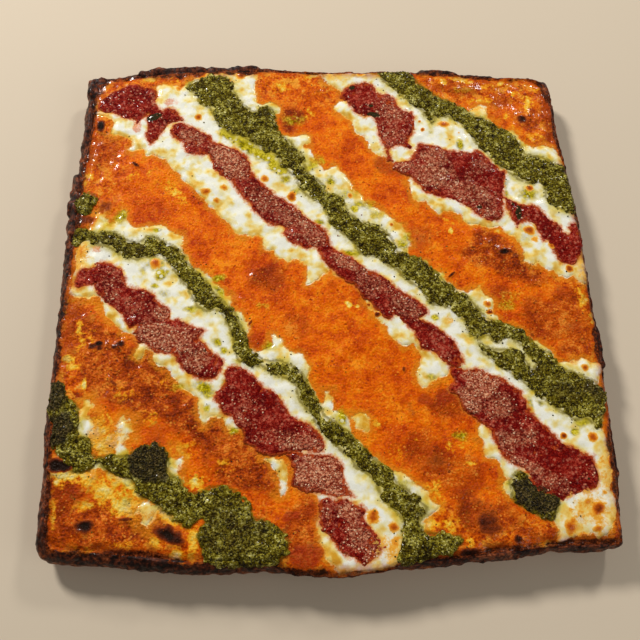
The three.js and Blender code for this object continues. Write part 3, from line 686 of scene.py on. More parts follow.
# Outlines from above, in millimetres from the middle of the pan
PESTO = {
    "pesto_middle": [[
        (-89, 138), (-87, 142), (-82, 144), (-78, 146), (-73, 148.5), (-68, 148), (-64, 146), (-61, 143),
        (-59, 140), (-59, 136), (-57, 132), (-54, 127), (-51, 124), (-48, 121), (-44, 120), (-42, 122),
        (-38, 124), (-33, 121), (-32, 117), (-31.5, 112), (-31, 107), (-29, 104), (-26, 101), (-22, 97),
        (-19, 92), (-16, 89), (-14, 86), (-14, 81), (-13, 76), (-9, 73), (-5, 69), (-2, 66), (0, 61),
        (5, 60), (9, 57), (11, 52), (13, 47), (16, 44), (20, 41), (24, 41), (28, 39), (33, 36), (36, 33),
        (38, 30), (40, 25), (41, 21), (45, 20), (50, 18), (54, 17), (57, 14), (60, 12), (62, 9), (65, 6),
        (68, 2), (71, -1), (75, -4), (80, -6), (82, -9), (85, -13), (88, -17), (91, -21), (95, -23),
        (99, -24), (104, -26), (110, -28), (113, -31), (117, -36), (120, -40), (126, -43), (129, -47),
        (131, -51), (134, -54), (139, -55), (141, -57), (146, -59), (150, -61), (152, -65), (155, -68),
        (156, -72), (155, -76), (153, -80), (151, -84), (150, -87), (147, -88), (144, -84), (141, -82),
        (137, -83), (134, -83), (132, -80), (128, -78), (124, -75), (120, -72), (116, -68), (112, -64),
        (108, -60), (106, -57), (110, -54), (116, -53), (119, -50), (116, -48), (113, -44), (111, -40),
        (108, -37), (104, -34.5), (100, -35), (96, -37), (94, -36), (92, -32.5), (88, -33), (85, -35),
        (81, -33), (79, -29), (78, -24), (76, -21), (73, -19), (70, -16), (66, -14), (62, -14), (58, -12),
        (56, -8), (53, -4), (50, -1), (47, 2), (43, 5), (41, 9), (37, 11), (33, 13), (29, 17), (25, 18),
        (21, 19), (18, 20), (16, 24), (14, 28), (11, 31), (8, 34), (5, 35), (3, 37), (1, 41), (0, 45),
        (-2, 49), (-4, 52), (-7, 55), (-12, 59), (-17, 64), (-19, 69), (-21, 73), (-25, 77), (-29, 80),
        (-30, 86), (-33, 89), (-38, 90), (-41, 93), (-45, 96), (-50, 99), (-54, 102), (-59, 102),
        (-62, 105), (-66, 108), (-70, 113), (-72, 118), (-74, 122), (-78, 124), (-81, 126), (-82, 130),
        (-84, 133), (-87, 135),
    ]],
    "pesto_middle_strand": [[
        (85, -37), (88, -38), (91, -39.5), (94, -41), (98, -41), (103, -40), (108, -42), (111, -45),
        (113, -50), (114, -54), (110, -58), (106, -59), (103, -56), (99, -53), (95, -50), (91, -47),
        (87, -43),
    ]],
    "pesto_left": [[
        (-153, 34), (-151, 36), (-147, 37.5), (-144, 36), (-141, 34), (-137, 33.5), (-131, 35),
        (-128, 34), (-124, 31), (-120, 29), (-116, 28), (-112, 29), (-109, 31.5), (-104, 31), (-99, 28.5),
        (-94, 26), (-90, 23), (-87, 20), (-85, 16), (-82, 12), (-78, 8), (-74, 4), (-71, 0), (-69, -4),
        (-65, -8), (-62, -11), (-58, -13), (-56, -17), (-54, -22), (-52, -26), (-49, -33), (-48, -39),
        (-44, -42), (-40, -45), (-36, -46), (-30, -46), (-26, -48), (-22, -50), (-19, -53), (-16, -57),
        (-13, -62), (-11, -67), (-9, -71), (-7, -74), (-6, -78), (-3, -80), (0, -81.5), (2, -84),
        (5, -86), (8, -88), (10, -91), (13, -94), (17, -97), (20, -102), (24, -105), (28, -108),
        (31, -112), (33, -116), (37, -119), (41, -122), (44, -124), (46, -127), (48, -129), (47, -132),
        (45, -134), (44, -137), (44, -141), (48, -142), (52, -143), (55, -142), (60, -144), (65, -144),
        (66, -147), (62, -151), (60, -154), (55, -153), (50, -154), (45, -155), (40, -157), (35, -158),
        (31, -156), (32, -152), (33, -147), (34, -142), (35, -137), (34, -134), (31, -131), (28, -128),
        (24, -125), (23, -121), (22, -117), (20, -114), (17, -111), (13, -109), (10, -106), (8, -102),
        (4, -99), (1, -96), (-2, -92), (-6, -89), (-9, -86), (-11, -82), (-13, -77), (-17, -73),
        (-20, -69), (-21, -64), (-22, -60), (-26, -57), (-30, -56), (-35, -54), (-38, -51), (-41, -49),
        (-46, -49), (-50, -47.5), (-54, -46), (-55.5, -42), (-56, -38), (-57, -32), (-59, -26),
        (-62, -21), (-65, -16), (-68, -15.5), (-73, -16), (-78, -13), (-80, -9), (-83, -4), (-85, 0),
        (-88, 4), (-91, 8), (-93, 12), (-97, 16), (-100, 19), (-106, 19), (-110, 17.5), (-115, 16.5),
        (-121, 18), (-124, 20), (-128, 22.5), (-132, 25), (-137, 26), (-141, 26.5), (-143, 29),
        (-147, 28.5), (-150, 26), (-153, 29),
    ]],
    "pesto_right": [[
        (33, 152), (37, 154), (42, 155), (47, 155.5), (51, 155), (54, 153), (57, 150.5), (60, 147),
        (62, 143), (67, 139), (71, 135), (76, 131.5), (82, 129), (87, 127), (92, 123), (97, 119),
        (102, 117), (107, 113.5), (111, 110.5), (116, 108), (119, 104), (122, 101), (125, 97), (126, 93),
        (127, 89), (131, 88.5), (135, 87), (139, 86), (142, 83.5), (147, 81.5), (151, 79), (153, 75),
        (154, 70), (154.5, 66), (156, 62), (156.5, 56), (156, 51), (155, 47), (151, 46), (146, 48),
        (141, 50), (138, 54), (136, 58), (137, 62), (136, 66), (133, 68), (129, 67), (125, 68),
        (121, 70.5), (118, 73), (114, 76), (111, 79), (107, 82.5), (104, 86), (102, 90), (99, 93),
        (97, 96), (96, 99), (94, 103), (91, 108), (88, 112), (84, 114.5), (80, 117), (75, 116.5),
        (70, 117), (67, 119.5), (63, 122), (60, 123.5), (57, 125.5), (54, 129), (50, 132.5), (46, 137),
        (41, 141), (38, 145), (36, 148),
    ], [(64, 121), (68, 121), (71, 117), (71, 113), (69, 111.5), (67, 115), (64.5, 118)]],
    "pesto_corner": [[
        (-157, -58), (-154, -57), (-150, -58), (-149, -64), (-147, -67), (-143, -69), (-141, -72),
        (-140, -77), (-139.5, -82), (-140, -88), (-137, -89), (-133, -90), (-132, -93), (-133, -97),
        (-131, -98.5), (-127, -99), (-122, -98), (-116, -99), (-111, -98), (-109, -96), (-105, -94),
        (-100, -92.5), (-96, -93), (-93, -96), (-91, -99), (-90, -103), (-90, -107), (-89, -110),
        (-85, -111), (-83, -114), (-80, -118), (-76, -119), (-72, -118), (-68, -116), (-62, -115.5),
        (-57, -117), (-52, -120), (-48, -124), (-46, -128), (-46, -131), (-43, -133), (-38, -134),
        (-33, -137), (-28, -141), (-26, -146), (-27, -151), (-31, -155), (-36, -157), (-42, -157),
        (-47, -156), (-52, -156), (-58, -157), (-64, -156.5), (-70, -153), (-72, -150), (-71, -146),
        (-74, -142), (-72.5, -138), (-70, -134), (-71, -131.5), (-74, -132), (-75, -134), (-78, -136.5),
        (-80, -137), (-83, -135), (-86, -133), (-90, -130), (-94, -127), (-98, -124), (-101, -122),
        (-104, -121), (-107, -118), (-108, -114), (-111, -111), (-115, -109), (-120, -108), (-124, -106),
        (-127, -102), (-130, -103), (-133, -106), (-138, -107), (-142, -106), (-144, -103), (-146, -100),
        (-150, -97), (-153, -93), (-154, -88), (-155, -82), (-157, -76), (-158, -72), (-158, -64),
    ]],
    "pesto_edge": [[
        (-155.5, 57), (-152, 58), (-149, 59), (-148, 61), (-145, 61), (-142, 59.5), (-140, 56),
        (-142, 52), (-143, 48), (-146, 46), (-150, 47), (-153, 49), (-155.5, 53),
    ]],
    "pesto_burnt": [[
        (94, -116), (97, -113), (101, -111), (105, -113), (108, -117), (112, -121), (117, -123.5),
        (121, -127), (120, -131), (118, -134), (116, -137), (112, -137), (107, -134), (102, -131),
        (98, -129), (95, -126), (95, -121),
    ]],
}
# Charred patches, in the form of the patches above
CHARRED = [
    (-100, -102, 13, 11, 1.2), (-150, -84, 8, 10, 1), (-153, -62, 7, 12, 1), (107, -125, 16, 12, 1.3),
    (-130, 30, 16, 5, 0.5, -8), (-116, 23, 8, 6, 0.5), (-80, 141, 10, 6, 0.35), (-37, 118, 7, 6, 0.35),
    (136, -66, 14, 6, 0.5), (150, -65, 8, 8, 0.7), (-12, 72, 12, 6, 0.3, -45), (-56, -138, 20, 18, 0.5),
    (46, 151, 10, 5, 0.4), (-150, 53, 8, 8, 0.45), (-148, 32, 6, 6, 0.35), (55, 10, 8, 8, 0.3),
    (-75, -9, 9, 7, 0.3), (118, -52, 5, 3, 0.5), (42, -128, 6, 6, 0.45), (-90, -122, 10, 8, 0.25),
    (125, 75, 8, 5, 0.35),
]


def granules(flat, size, seed):
    """Little domes, one to a cell of about `size`."""
    rng = np.random.default_rng(seed)
    jitter = rng.uniform(0, 1, (128, 128, 2))
    cell = np.floor(flat[:, :2] / size).astype(int)
    nearest = np.full(len(flat), 9.0)
    for step in np.ndindex(3, 3):
        at = cell + np.array(step) - 1
        centre = (at + jitter[at[:, 0] % 128, at[:, 1] % 128]) * size
        nearest = np.minimum(nearest, np.hypot(*(flat[:, :2] - centre).T) / size)
    return np.sqrt(np.clip(1 - nearest ** 2, 0, 1))


def pesto_relief(flat):
    """Lumps of paste with two sizes of ground bits in it."""
    bent = flat + 0.6 * np.stack([cloud(flat, 3, 93), cloud(flat, 3, 95), 0 * flat[:, 0]], axis=1)
    return 0.55 * cloud(flat, 5, 83, 3) + 0.55 * granules(bent, 2.7, 85) + 0.3 * granules(bent, 1.5, 87) - 0.5


def pesto_marks(x, y, depth):
    """Where the paste is charred, thin and grainy, and takes crumbs."""
    flat = level(x, y)
    return {
        "charred": soft_patches(CHARRED, x, y, 0.3 * cloud(flat, 5, 89, 2)),
        "thin": smooth_step(depth, 2.6, -0.4),
        "grains": granules(flat, 2.5, 85) + cloud(flat, 3, 91),
        "crumbs": 1.0 * (depth > 0.4),
    }


def pesto_look(w):
    """Coarse green paste, charred in patches, thinner and yellower at the edge."""
    fine = w.noise(1.1, 3, 0.7)
    tone = w.sum((fine, 0.55), (w.noise(5, 3, shift=0.2), 0.3), (w.mark("grains"), 0.07),
                 (w.noise(2.2, 2, shift=0.9), 0.2), -0.08)
    paste = w.shades(tone, [
        (0.4, 32, 22, 0), (0.45, 70, 56, 0), (0.5, 106, 92, 8), (0.55, 146, 134, 38), (0.6, 190, 180, 86),
        (0.66, 232, 224, 150),
    ])
    char = w.sum((w.mark("charred"), 1.0), (w.noise(6, 3, shift=0.6), 0.5), (fine, 0.8))
    burnt = w.shades(fine, [
        (0.42, 24, 18, 6), (0.55, 66, 54, 26), (0.66, 120, 98, 62),
    ])
    green = w.mix(w.times(w.step(char, 0.9, 1.6), 0.92), paste, burnt)
    shallow = w.sum(w.mark("thin"), (fine, 1.2), (w.noise(7, 2, shift=3.1), 1.6))
    colour = w.mix(w.times(w.step(shallow, 1.9, 2.6), 0.6), green, (150, 134, 24))
    roughness = w.range(w.noise(2, 2), 0.35, 0.65, 0.3, 0.55)
    height = w.sum((w.noise(0.9, 3), 0.6), (w.cells(1.4), -0.5))
    wetness = w.times(w.step(w.noise(1.2, 2, shift=2.6), 0.54, 0.6), 0.4)
    return colour, roughness, height, wetness


pesto_material = food_material("basil pesto", pesto_look, depth=1.8, specular=0.05)
pesto_pieces = [
    sauce_piece(name, outlines, PESTO_RISE, PESTO_RAGGEDNESS, pesto_relief, pesto_marks, pesto_material)
    for name, outlines in PESTO.items()
]


# Baked cheese
# One thin layer of cheese and orange sauce over the whole dough, baked together: lumpy, oily, browned at
# the rim and in blisters. White mozzarella has melted into it, so its colours run on under the bands.
# It is a grid stretched to the four sides; values stored on its points say what lies where.
CHEESE_GRID = 298
CHEESE_EDGE_DROP = 1.3
CHEESE_SPILL = 0.55
CHEESE_BOTTOM = 15.2

# Outlines of the white cheese from above, for each band of mozzarella
WHITE = {
    "mozzarella_middle": [[
        (-146, 118), (-138, 119), (-128, 118), (-118, 120), (-112, 126), (-108, 133), (-108, 138),
        (-103, 140), (-98, 139.5), (-93, 138), (-90, 141), (-84, 145), (-76, 149), (-68, 151), (-62, 153),
        (-58, 151.5), (-56, 147), (-52, 146.5), (-49, 148), (-46, 149.5), (-44, 145), (-46, 139),
        (-44, 133), (-43, 127), (-40, 125), (-36, 127), (-32, 125.5), (-29, 123), (-28.5, 120),
        (-31, 118), (-33, 112), (-32, 106), (-29, 103.5), (-25, 102.5), (-20, 101.5), (-15, 102.5),
        (-10.5, 102), (-10.5, 97), (-14, 94.5), (-10, 92), (-8.5, 89), (-8, 86), (-5, 83), (-3, 80),
        (-1.5, 76), (1, 78), (4, 81), (8, 79), (10, 75), (13, 71), (16, 67), (18, 62), (21, 59), (24, 55),
        (27, 52), (31, 50), (34, 47.5), (37, 45.5), (41, 43.5), (43, 41), (45, 38), (48, 34), (49, 29),
        (49, 25), (47, 22), (46, 19), (52, 16), (58, 14), (62, 9), (64, 7), (67, 7), (69, 4), (71, 1),
        (76, -3), (81, -5.5), (84, -4), (86, -2.5), (89, -2), (91, -5), (94, -9), (96.5, -11),
        (96.5, -15), (95, -18), (97, -20), (99, -22), (98, -25), (104, -27), (110, -29), (114, -33),
        (117, -36), (121, -36), (125, -39), (128, -44), (131, -49), (136, -49.5), (140, -48), (145, -47),
        (149, -47.5), (152, -50), (156, -50.5), (157, -54), (154, -57), (152, -60), (152, -70),
        (150, -77), (151, -84), (151, -91), (152, -96), (153, -101), (151, -104), (152, -111),
        (151, -118), (150, -124), (152, -128), (151, -133), (150, -138), (147, -143), (144, -145),
        (139, -146), (134, -144.5), (129, -146), (124, -147), (120, -149.5), (117, -148), (119, -143),
        (117, -139), (116, -135), (108, -130), (98, -126), (93, -123), (90, -120), (91, -117), (94, -115),
        (92, -111), (90.5, -106), (88, -104), (84, -103), (82, -99), (83, -95), (80, -92), (80, -88),
        (82, -84), (84, -80), (82, -70), (80, -60), (77, -54), (72, -52), (67, -52), (66, -55), (62, -57),
        (56, -59), (53, -63), (50, -63), (48, -59), (48, -54), (50, -50), (50, -45), (49, -41), (47, -38),
        (44, -39), (40, -38.5), (38, -36), (34, -33), (33, -29), (31, -26), (28, -22), (25, -18),
        (22, -14), (20, -10), (22, -8), (14, 2), (3, 6), (0, 8.5), (-4, 6.5), (-8, 4), (-11, 2),
        (-13.5, 1), (-14, 6), (-14, 11), (-15, 15.5), (-18, 16), (-22, 16.5), (-25, 14), (-27, 17),
        (-30, 18), (-32.5, 20), (-34, 23), (-36, 21.5), (-39, 22.5), (-39, 28), (-40, 32), (-45, 32),
        (-50, 32.5), (-57, 33), (-58, 36), (-60, 39), (-63, 43), (-66, 46), (-69, 50), (-73, 53),
        (-76, 57), (-79, 60), (-81, 62), (-84, 66), (-87, 69), (-90, 71), (-91, 74), (-94, 76), (-97, 79),
        (-99, 82), (-100, 85), (-103, 86), (-106, 87), (-110, 88.5), (-112, 88), (-114, 91.5),
        (-118, 91.5), (-121, 90), (-124, 91), (-122, 94), (-123, 98), (-126, 100), (-131, 101),
        (-134, 103), (-133, 110), (-136, 113), (-140, 116),
    ]],
    "mozzarella_right": [[
        (-3, 150), (2, 150), (8, 151), (14, 151.5), (20, 151), (26, 151), (33, 152), (45, 153), (54, 149),
        (62, 141), (70, 134), (75, 131), (80, 130.5), (83, 128), (90, 123), (95, 122), (98, 124.5),
        (102, 127), (105, 125.5), (107, 121), (107, 116), (108, 113.5), (111, 112), (112, 109),
        (117, 107), (121, 106), (124, 103.5), (124, 100.5), (128, 98), (131, 95), (136, 94.5),
        (141, 95.5), (146, 93.5), (148.5, 89), (151, 84.5), (151, 78), (152, 68), (152, 58), (153, 48),
        (156, 42), (157, 34), (156, 27), (155.5, 20), (154.5, 14), (156, 8), (156.5, 3), (156, 0.5),
        (153, 0), (150, 1), (147, 4.5), (143, 4), (138, 6), (133, 8), (130, 11), (127, 14), (124, 12.5),
        (121, 12), (118, 15), (118, 22), (116, 28), (114, 32), (111, 32), (108, 35), (107, 38), (103, 39),
        (99, 37), (95, 38), (90, 40), (86, 41), (83, 44), (80, 47), (77, 48.5), (72, 48.5), (69, 47),
        (66, 49), (64, 51), (62, 54), (60, 55.5), (56, 54), (54, 56), (53, 60), (53, 66), (50, 70),
        (52, 73), (49, 77), (47, 79), (42, 82), (39, 86), (37, 88), (35, 86.5), (32, 89), (29, 92),
        (27, 97), (24, 101), (20, 104), (18, 108), (17, 113), (14, 116), (10, 118), (7, 120), (6, 123),
        (8, 127), (12, 129), (14, 133), (10, 136), (8, 138), (4, 141), (0, 144), (-2, 147),
    ]],
    "mozzarella_left": [[
        (-143, 37), (-142, 41), (-142, 45), (-140, 48), (-137, 50.5), (-135, 50), (-133.5, 46),
        (-133, 42), (-131, 40), (-129, 41), (-128, 44), (-126, 47), (-124, 50), (-122, 47), (-121, 41),
        (-118, 38.5), (-115, 38), (-111, 38.5), (-107, 39), (-103, 39.5), (-99, 39), (-96, 36), (-93, 34),
        (-88, 33), (-87, 29), (-88, 25), (-86, 20), (-84, 17), (-82, 13), (-79, 11.5), (-77, 11),
        (-74, 8), (-71, 5), (-69, 2), (-66, 0), (-64, -3), (-62, -6), (-59, -6), (-58, -9), (-58, -13),
        (-56, -17), (-54, -17), (-51, -19), (-49, -23), (-48, -27), (-49, -32), (-48, -39), (-43, -40.5),
        (-40, -40), (-38, -38), (-35, -36), (-35, -31), (-33, -30.5), (-30, -33), (-28, -37), (-25, -41),
        (-20, -42), (-17, -43), (-15, -47), (-13.5, -51), (-14, -56), (-13, -61), (-9, -69), (-6, -72),
        (-5, -68), (-5, -66), (-8, -64), (-4, -63.5), (-2, -64), (-2, -67), (-2, -71), (-1, -74),
        (1, -76), (4, -78), (8, -80), (8, -86), (10, -90), (14, -94), (20, -101), (28, -107.5),
        (31, -110), (35, -111), (39, -113), (43, -117), (49, -120), (51, -124), (52, -127), (56, -128),
        (53, -131), (50, -133), (46, -136), (46, -141), (42, -144), (36, -152), (31, -158), (26, -160),
        (14, -161), (6, -161.5), (0, -161), (-4, -157), (-8, -152), (-9, -147), (-10, -142),
        (-11.5, -137), (-10, -133), (-8, -126), (-12, -121), (-16, -118), (-22, -112), (-22, -106),
        (-24, -101), (-30, -98), (-36, -95), (-45, -90), (-49, -87), (-51, -84.5), (-54, -85), (-57, -85),
        (-60, -82), (-63, -79), (-66, -77), (-69, -79), (-70, -82), (-73, -83), (-75, -80), (-75, -75),
        (-76, -69), (-80, -64), (-86, -60), (-89, -57.5), (-92, -55), (-92.5, -52), (-95, -50),
        (-99, -47), (-103, -44.5), (-102, -41), (-106, -39), (-107, -42), (-110, -45), (-113, -43),
        (-112, -39), (-110, -35), (-114, -31), (-117, -29.5), (-119, -28.5), (-122, -27), (-125, -23),
        (-127, -20.5), (-130, -18.5), (-132, -14), (-133.5, -10), (-135, -6.5), (-138, -6), (-142, -7),
        (-148, -6.5), (-152, -4), (-151, 0), (-150, 5), (-150, 9), (-149, 14), (-150, 19), (-149, 24),
        (-148, 28), (-147, 31),
    ], [
        (-40, -100.5), (-37, -100), (-33, -101), (-29.5, -102), (-27, -105.5), (-26.5, -110),
        (-27.5, -114), (-27, -118), (-30, -121.5), (-32, -120), (-30, -116), (-31, -112), (-34, -108),
        (-36, -104),
    ], [(10, -79), (13, -77.5), (18, -77), (19.5, -81), (20, -86), (18, -88), (16, -86), (12, -85.5)]],
    "mozzarella_corner": [[
        (-140, -73), (-137, -70), (-134, -72), (-134, -78), (-132, -82), (-133, -87), (-136, -90),
        (-143, -88), (-144, -80),
    ], [
        (-119, -82), (-116, -80), (-112, -80.5), (-111, -85), (-113, -89), (-114, -92), (-113, -96),
        (-114, -102), (-120, -102), (-121, -95), (-118, -90), (-118, -86),
    ], [
        (-107, -125), (-103, -123.5), (-99, -121), (-94, -126), (-97, -130), (-100, -136), (-103, -134),
        (-103, -130), (-107, -127.5),
    ], [(-92, -101), (-86, -99.5), (-84, -101), (-84, -107), (-85, -113), (-92, -111), (-92, -106)],
        [(-131, -101), (-127, -101), (-125, -105), (-129, -107), (-132, -105)],
    ],
}
# How steeply the cheese of a band thickens inwards, where that is softer than usual
MELTED = {"mozzarella_corner": 0.45}
# Browned blisters and burnt spots, as x, y, radius along, radius across, darkness and turn in degrees
SPOTS = [
    (-142, 108, 3.2, 5, 1), (-135, 52, 7.5, 6, 0.58), (-146, 42, 7, 6, 0.66), (-81, 115, 2.4, 2.8, 0.45),
    (-75, 62, 3, 2.6, 0.42), (-63.5, 65, 2.4, 2.6, 0.32), (-68, 56, 2.5, 2.2, 0.34),
    (-94, 137, 3, 2.4, 0.4), (-84, 150, 8, 4.5, 0.9), (-54, 148, 3.4, 3.2, 0.55), (-103, 14, 3, 3, 0.5),
    (129, 115, 4.2, 4, 0.85), (142, 114, 1.6, 1.6, 0.6), (127, 64, 2.6, 2.2, 0.5),
    (123.5, 35, 3.2, 3, 0.5), (126, 29, 2.6, 2.4, 0.3), (136, 25, 2, 2, 0.5), (145, 9, 2.4, 2.4, 0.6),
    (18.5, -133.5, 3.6, 3.6, 0.52), (29.5, -139, 2.8, 2.6, 0.46), (30, -147, 3, 4, 0.28),
    (145.5, -53, 2.4, 2.2, 0.5), (144, -93, 2.8, 2.8, 0.46), (141, -132, 3.4, 3.6, 0.55),
    (131, -133, 2.6, 2, 0.32), (126, -132, 2, 1.6, 0.3), (136, -128, 2.4, 2, 0.34),
    (125, -141, 3.4, 4.6, 0.55), (139, -142, 3, 2, 0.4), (131, -145, 4, 1.6, 0.42),
    (146, -123, 1.4, 1.4, 0.36), (150, -140, 1.8, 4, 0.58), (-133, -135, 5, 4.2, 1.1),
    (-89, -140, 10, 4.6, 1, -25), (-112, -132, 6, 1.8, 0.66), (-131, -110, 2.6, 2, 0.5),
    (-149, -103, 7.5, 3.6, 1.3, -8), (-118, -149, 10, 4, 0.75), (-92, -154, 8, 3, 0.9),
    (55, -105, 11, 8, 0.46), (76, -127, 6, 5, 0.46), (80, -138, 8, 11, 0.7, 30), (96, -147, 3, 3, 0.85),
    (95, -153, 8, 2.4, 0.75), (70, -153, 8, 3.4, 0.9), (112, -144, 5, 3.5, 0.38), (106, -10, 5, 6, 0.34),
    (112, -18, 3.5, 2.5, 0.4), (107, 21, 5, 2.4, 0.9), (98, 27, 3, 2.2, 0.6), (113, 19, 3, 2, 0.56),
    (106, 24, 12, 7, 0.3), (-20, 115, 3, 2.4, 0.5), (-4, 136, 3.5, 3.5, 0.42), (-40, 145, 5, 8, 0.28),
    (-136, -36.6, 3, 2.2, 0.85), (-132.4, -35, 2.6, 2.2, 1), (-132, -38, 2.2, 1.4, 0.8),
    (-128, -36, 5, 2.2, 0.5), (-123.6, -37.4, 2.6, 1.8, 0.8), (-120.4, -35.4, 3, 2.6, 0.9),
    (-118, 80.5, 3.8, 1.3, 0.9, -35), (-45, 6, 2.8, 1, 0.8, -60), (73, 6, 3.6, 1.2, 0.85, 40),
    (-47, -23, 3, 1.2, 0.7, 60), (40.5, -52, 1.6, 2.2, 0.6), (27, -19, 2, 1.6, 0.8),
    (22, -13, 1.2, 1, 0.7), (-52, -8, 2.5, 2, 0.55), (92, 138, 9, 3, 0.4), (83, 138, 3, 2, 0.46),
    (157, -36, 4, 3.5, 0.9), (-123, -58, 5, 1.6, 0.55, -50), (-82, -105, 1.8, 4, 0.42),
    (-39, 71, 2.6, 2.6, 0.4), (-22, 59, 2.6, 3.6, 0.5), (68, -24, 4, 4, 0.2), (128, -92, 1.8, 1.8, 0.7),
    (93, -13, 2.2, 2.4, 0.45), (94, -18, 2.4, 1.6, 0.8), (14, 59, 1.8, 2, 0.36),
    (76, 111, 4.4, 2.4, 0.42), (68, -87, 1, 1, 0.8), (75, -97, 1.2, 1, 0.6), (24, 149, 3, 2.2, 0.4),
    (-139, -18, 5, 4, 0.3), (153, -107, 2, 3, 0.7), (154, -98, 1.8, 2.4, 0.6), (153, -117, 2, 3, 0.65),
    (8, -39, 2.6, 2.2, 0.4), (34, -48, 2, 1.6, 0.45), (38.5, 39, 1.4, 1.4, 0.6), (-70, -46, 1, 1, 0.3),
    (78, -19, 2, 1.6, 0.3), (62.5, 107, 1.2, 1.2, 0.6), (61, 113, 1, 1, 0.4), (86, 105, 1, 1, 0.35),
    (-28, -6, 5, 8, 0.26), (136, -134, 20, 16, 0.19), (148, -112, 6, 16, 0.2), (-147, 20, 8, 13, 0.22),
    (150, -76, 5, 14, 0.17), (-140, 116, 8, 8, 0.2), (152, 8, 5, 12, 0.18), (6, 145, 12, 6, 0.16),
    (28, -150, 12, 10, 0.18), (-70, 145, 16, 6, 0.15), (100, 122, 10, 6, 0.16), (-122, -88, 10, 12, 0.2),
    (-97, -130, 8, 6, 0.2),
]
# Patches of pale, creamy cheese in the orange, in the same form with strength in place of darkness
PALE = [
    (-28, 139, 5, 5, 0.65), (-10, 118, 4, 6, 0.45), (-7, 148, 7, 3.4, 0.8), (-148, 72, 5, 7, 0.65),
    (-147, 125, 4, 8, 0.6), (-140, 139, 5, 4, 0.5), (-112, 145, 8, 4, 0.7), (-100, 147, 8, 3, 0.55),
    (-95, 143, 5, 3, 0.45), (-127, 145, 4, 3, 0.4), (-120, 73, 5, 4, 0.5), (-93, 62, 6, 4, 0.6),
    (-98, 67, 5, 4, 0.45), (-88, 56, 5, 4, 0.4), (-110, 74, 4, 4, 0.4), (-148, 60, 5, 4, 0.4),
    (-157, -45, 2.2, 9, 0.9, -15), (-144, -25, 2, 6, 0.7), (-149, -44, 4, 2.6, 0.85),
    (-146, -48, 4, 4, 0.7), (-154, -12, 2.2, 8, 0.6), (-139, -58, 1.5, 5, 0.8), (-130, -86, 9, 8, 0.85),
    (-124, -92, 10, 7, 0.9), (-136, -94, 5, 4, 0.5), (-145, -109, 12, 5, 0.85), (-132, -110, 8, 5, 0.9),
    (-115, -111, 11, 5, 1, -20), (-112, -124, 10, 8, 0.9), (-124, -117, 8, 7, 0.8),
    (-104, -118, 6, 8, 0.9), (-90, -130, 10, 4, 0.9, -30), (-76, -144, 3.4, 8, 0.7), (-85, -151, 4, 5, 1),
    (-77, -152, 2.4, 3, 0.8), (-96, -144, 3, 3.6, 0.7), (-136, -148, 8, 3, 0.6), (-76, -114, 5, 4, 0.9),
    (-84, -96, 7, 6, 0.6), (-80, -62, 6, 3, 0.6), (-123, -79, 1.4, 4, 0.95, 30), (134, 128, 4, 7, 0.75),
    (102, 130, 9, 3, 0.55), (91, 147, 9, 3.6, 0.75), (79, 144, 4.5, 3, 0.7), (118, 144, 3, 2.6, 0.7),
    (126, 146, 2.6, 2.2, 0.6), (72, 43, 5, 1.2, 0.7, -30), (75, 35, 1.6, 2.8, 0.95),
    (104, 35, 3, 1.6, 0.9), (10, -12, 3, 1.6, 0.95, -30), (15, -14, 1.4, 1, 0.8),
    (151, -12, 3.6, 5, 0.75), (155, -22, 2.4, 6, 0.7), (150, -5, 4, 4, 0.5), (23, -84, 2.6, 3, 0.7),
    (52, -128, 7, 7, 0.6), (59, -137, 8, 6, 0.5), (53, -120, 6, 6, 0.55), (62, -141, 6, 3, 0.5),
    (48, -137, 5, 4, 0.8), (92, -120, 3, 4, 0.8), (113, -150, 7, 2.4, 0.8), (70, -148, 3, 3, 0.8),
    (100, -110, 5, 3, 0.5), (74, -106, 3.6, 1.6, 0.6), (-28, -157, 5, 2, 0.5), (152, -80, 3, 6, 0.45),
    (-146, 20, 5, 6, 0.6), (-62, 149, 4, 3, 0.5), (-157, -20, 1.6, 6, 0.5), (45, -92, 2.4, 1.4, 0.5),
    (-96, -58, 3, 1.4, 0.5, 40), (108, 131, 5, 2, 0.4), (-154, -94, 2, 5, 0.5), (-151, -126, 4, 12, 0.5),
    (-134, -124, 6, 4, 0.5), (-112, -146, 8, 5, 0.45), (-118, -66, 8, 6, 0.45), (-100, -78, 8, 6, 0.4),
    (-62, -104, 8, 6, 0.4), (-140, -34, 6, 8, 0.5), (34, -100, 7, 5, 0.35), (66, -96, 6, 4, 0.4),
    (110, 141, 9, 3, 0.45), (124, 136, 7, 4, 0.35), (142, 138, 4, 5, 0.4), (118, 119, 7, 5, 0.35),
    (146, 110, 4, 8, 0.35), (134, 102, 8, 4, 0.4), (122, 108, 5, 4, 0.35),
]
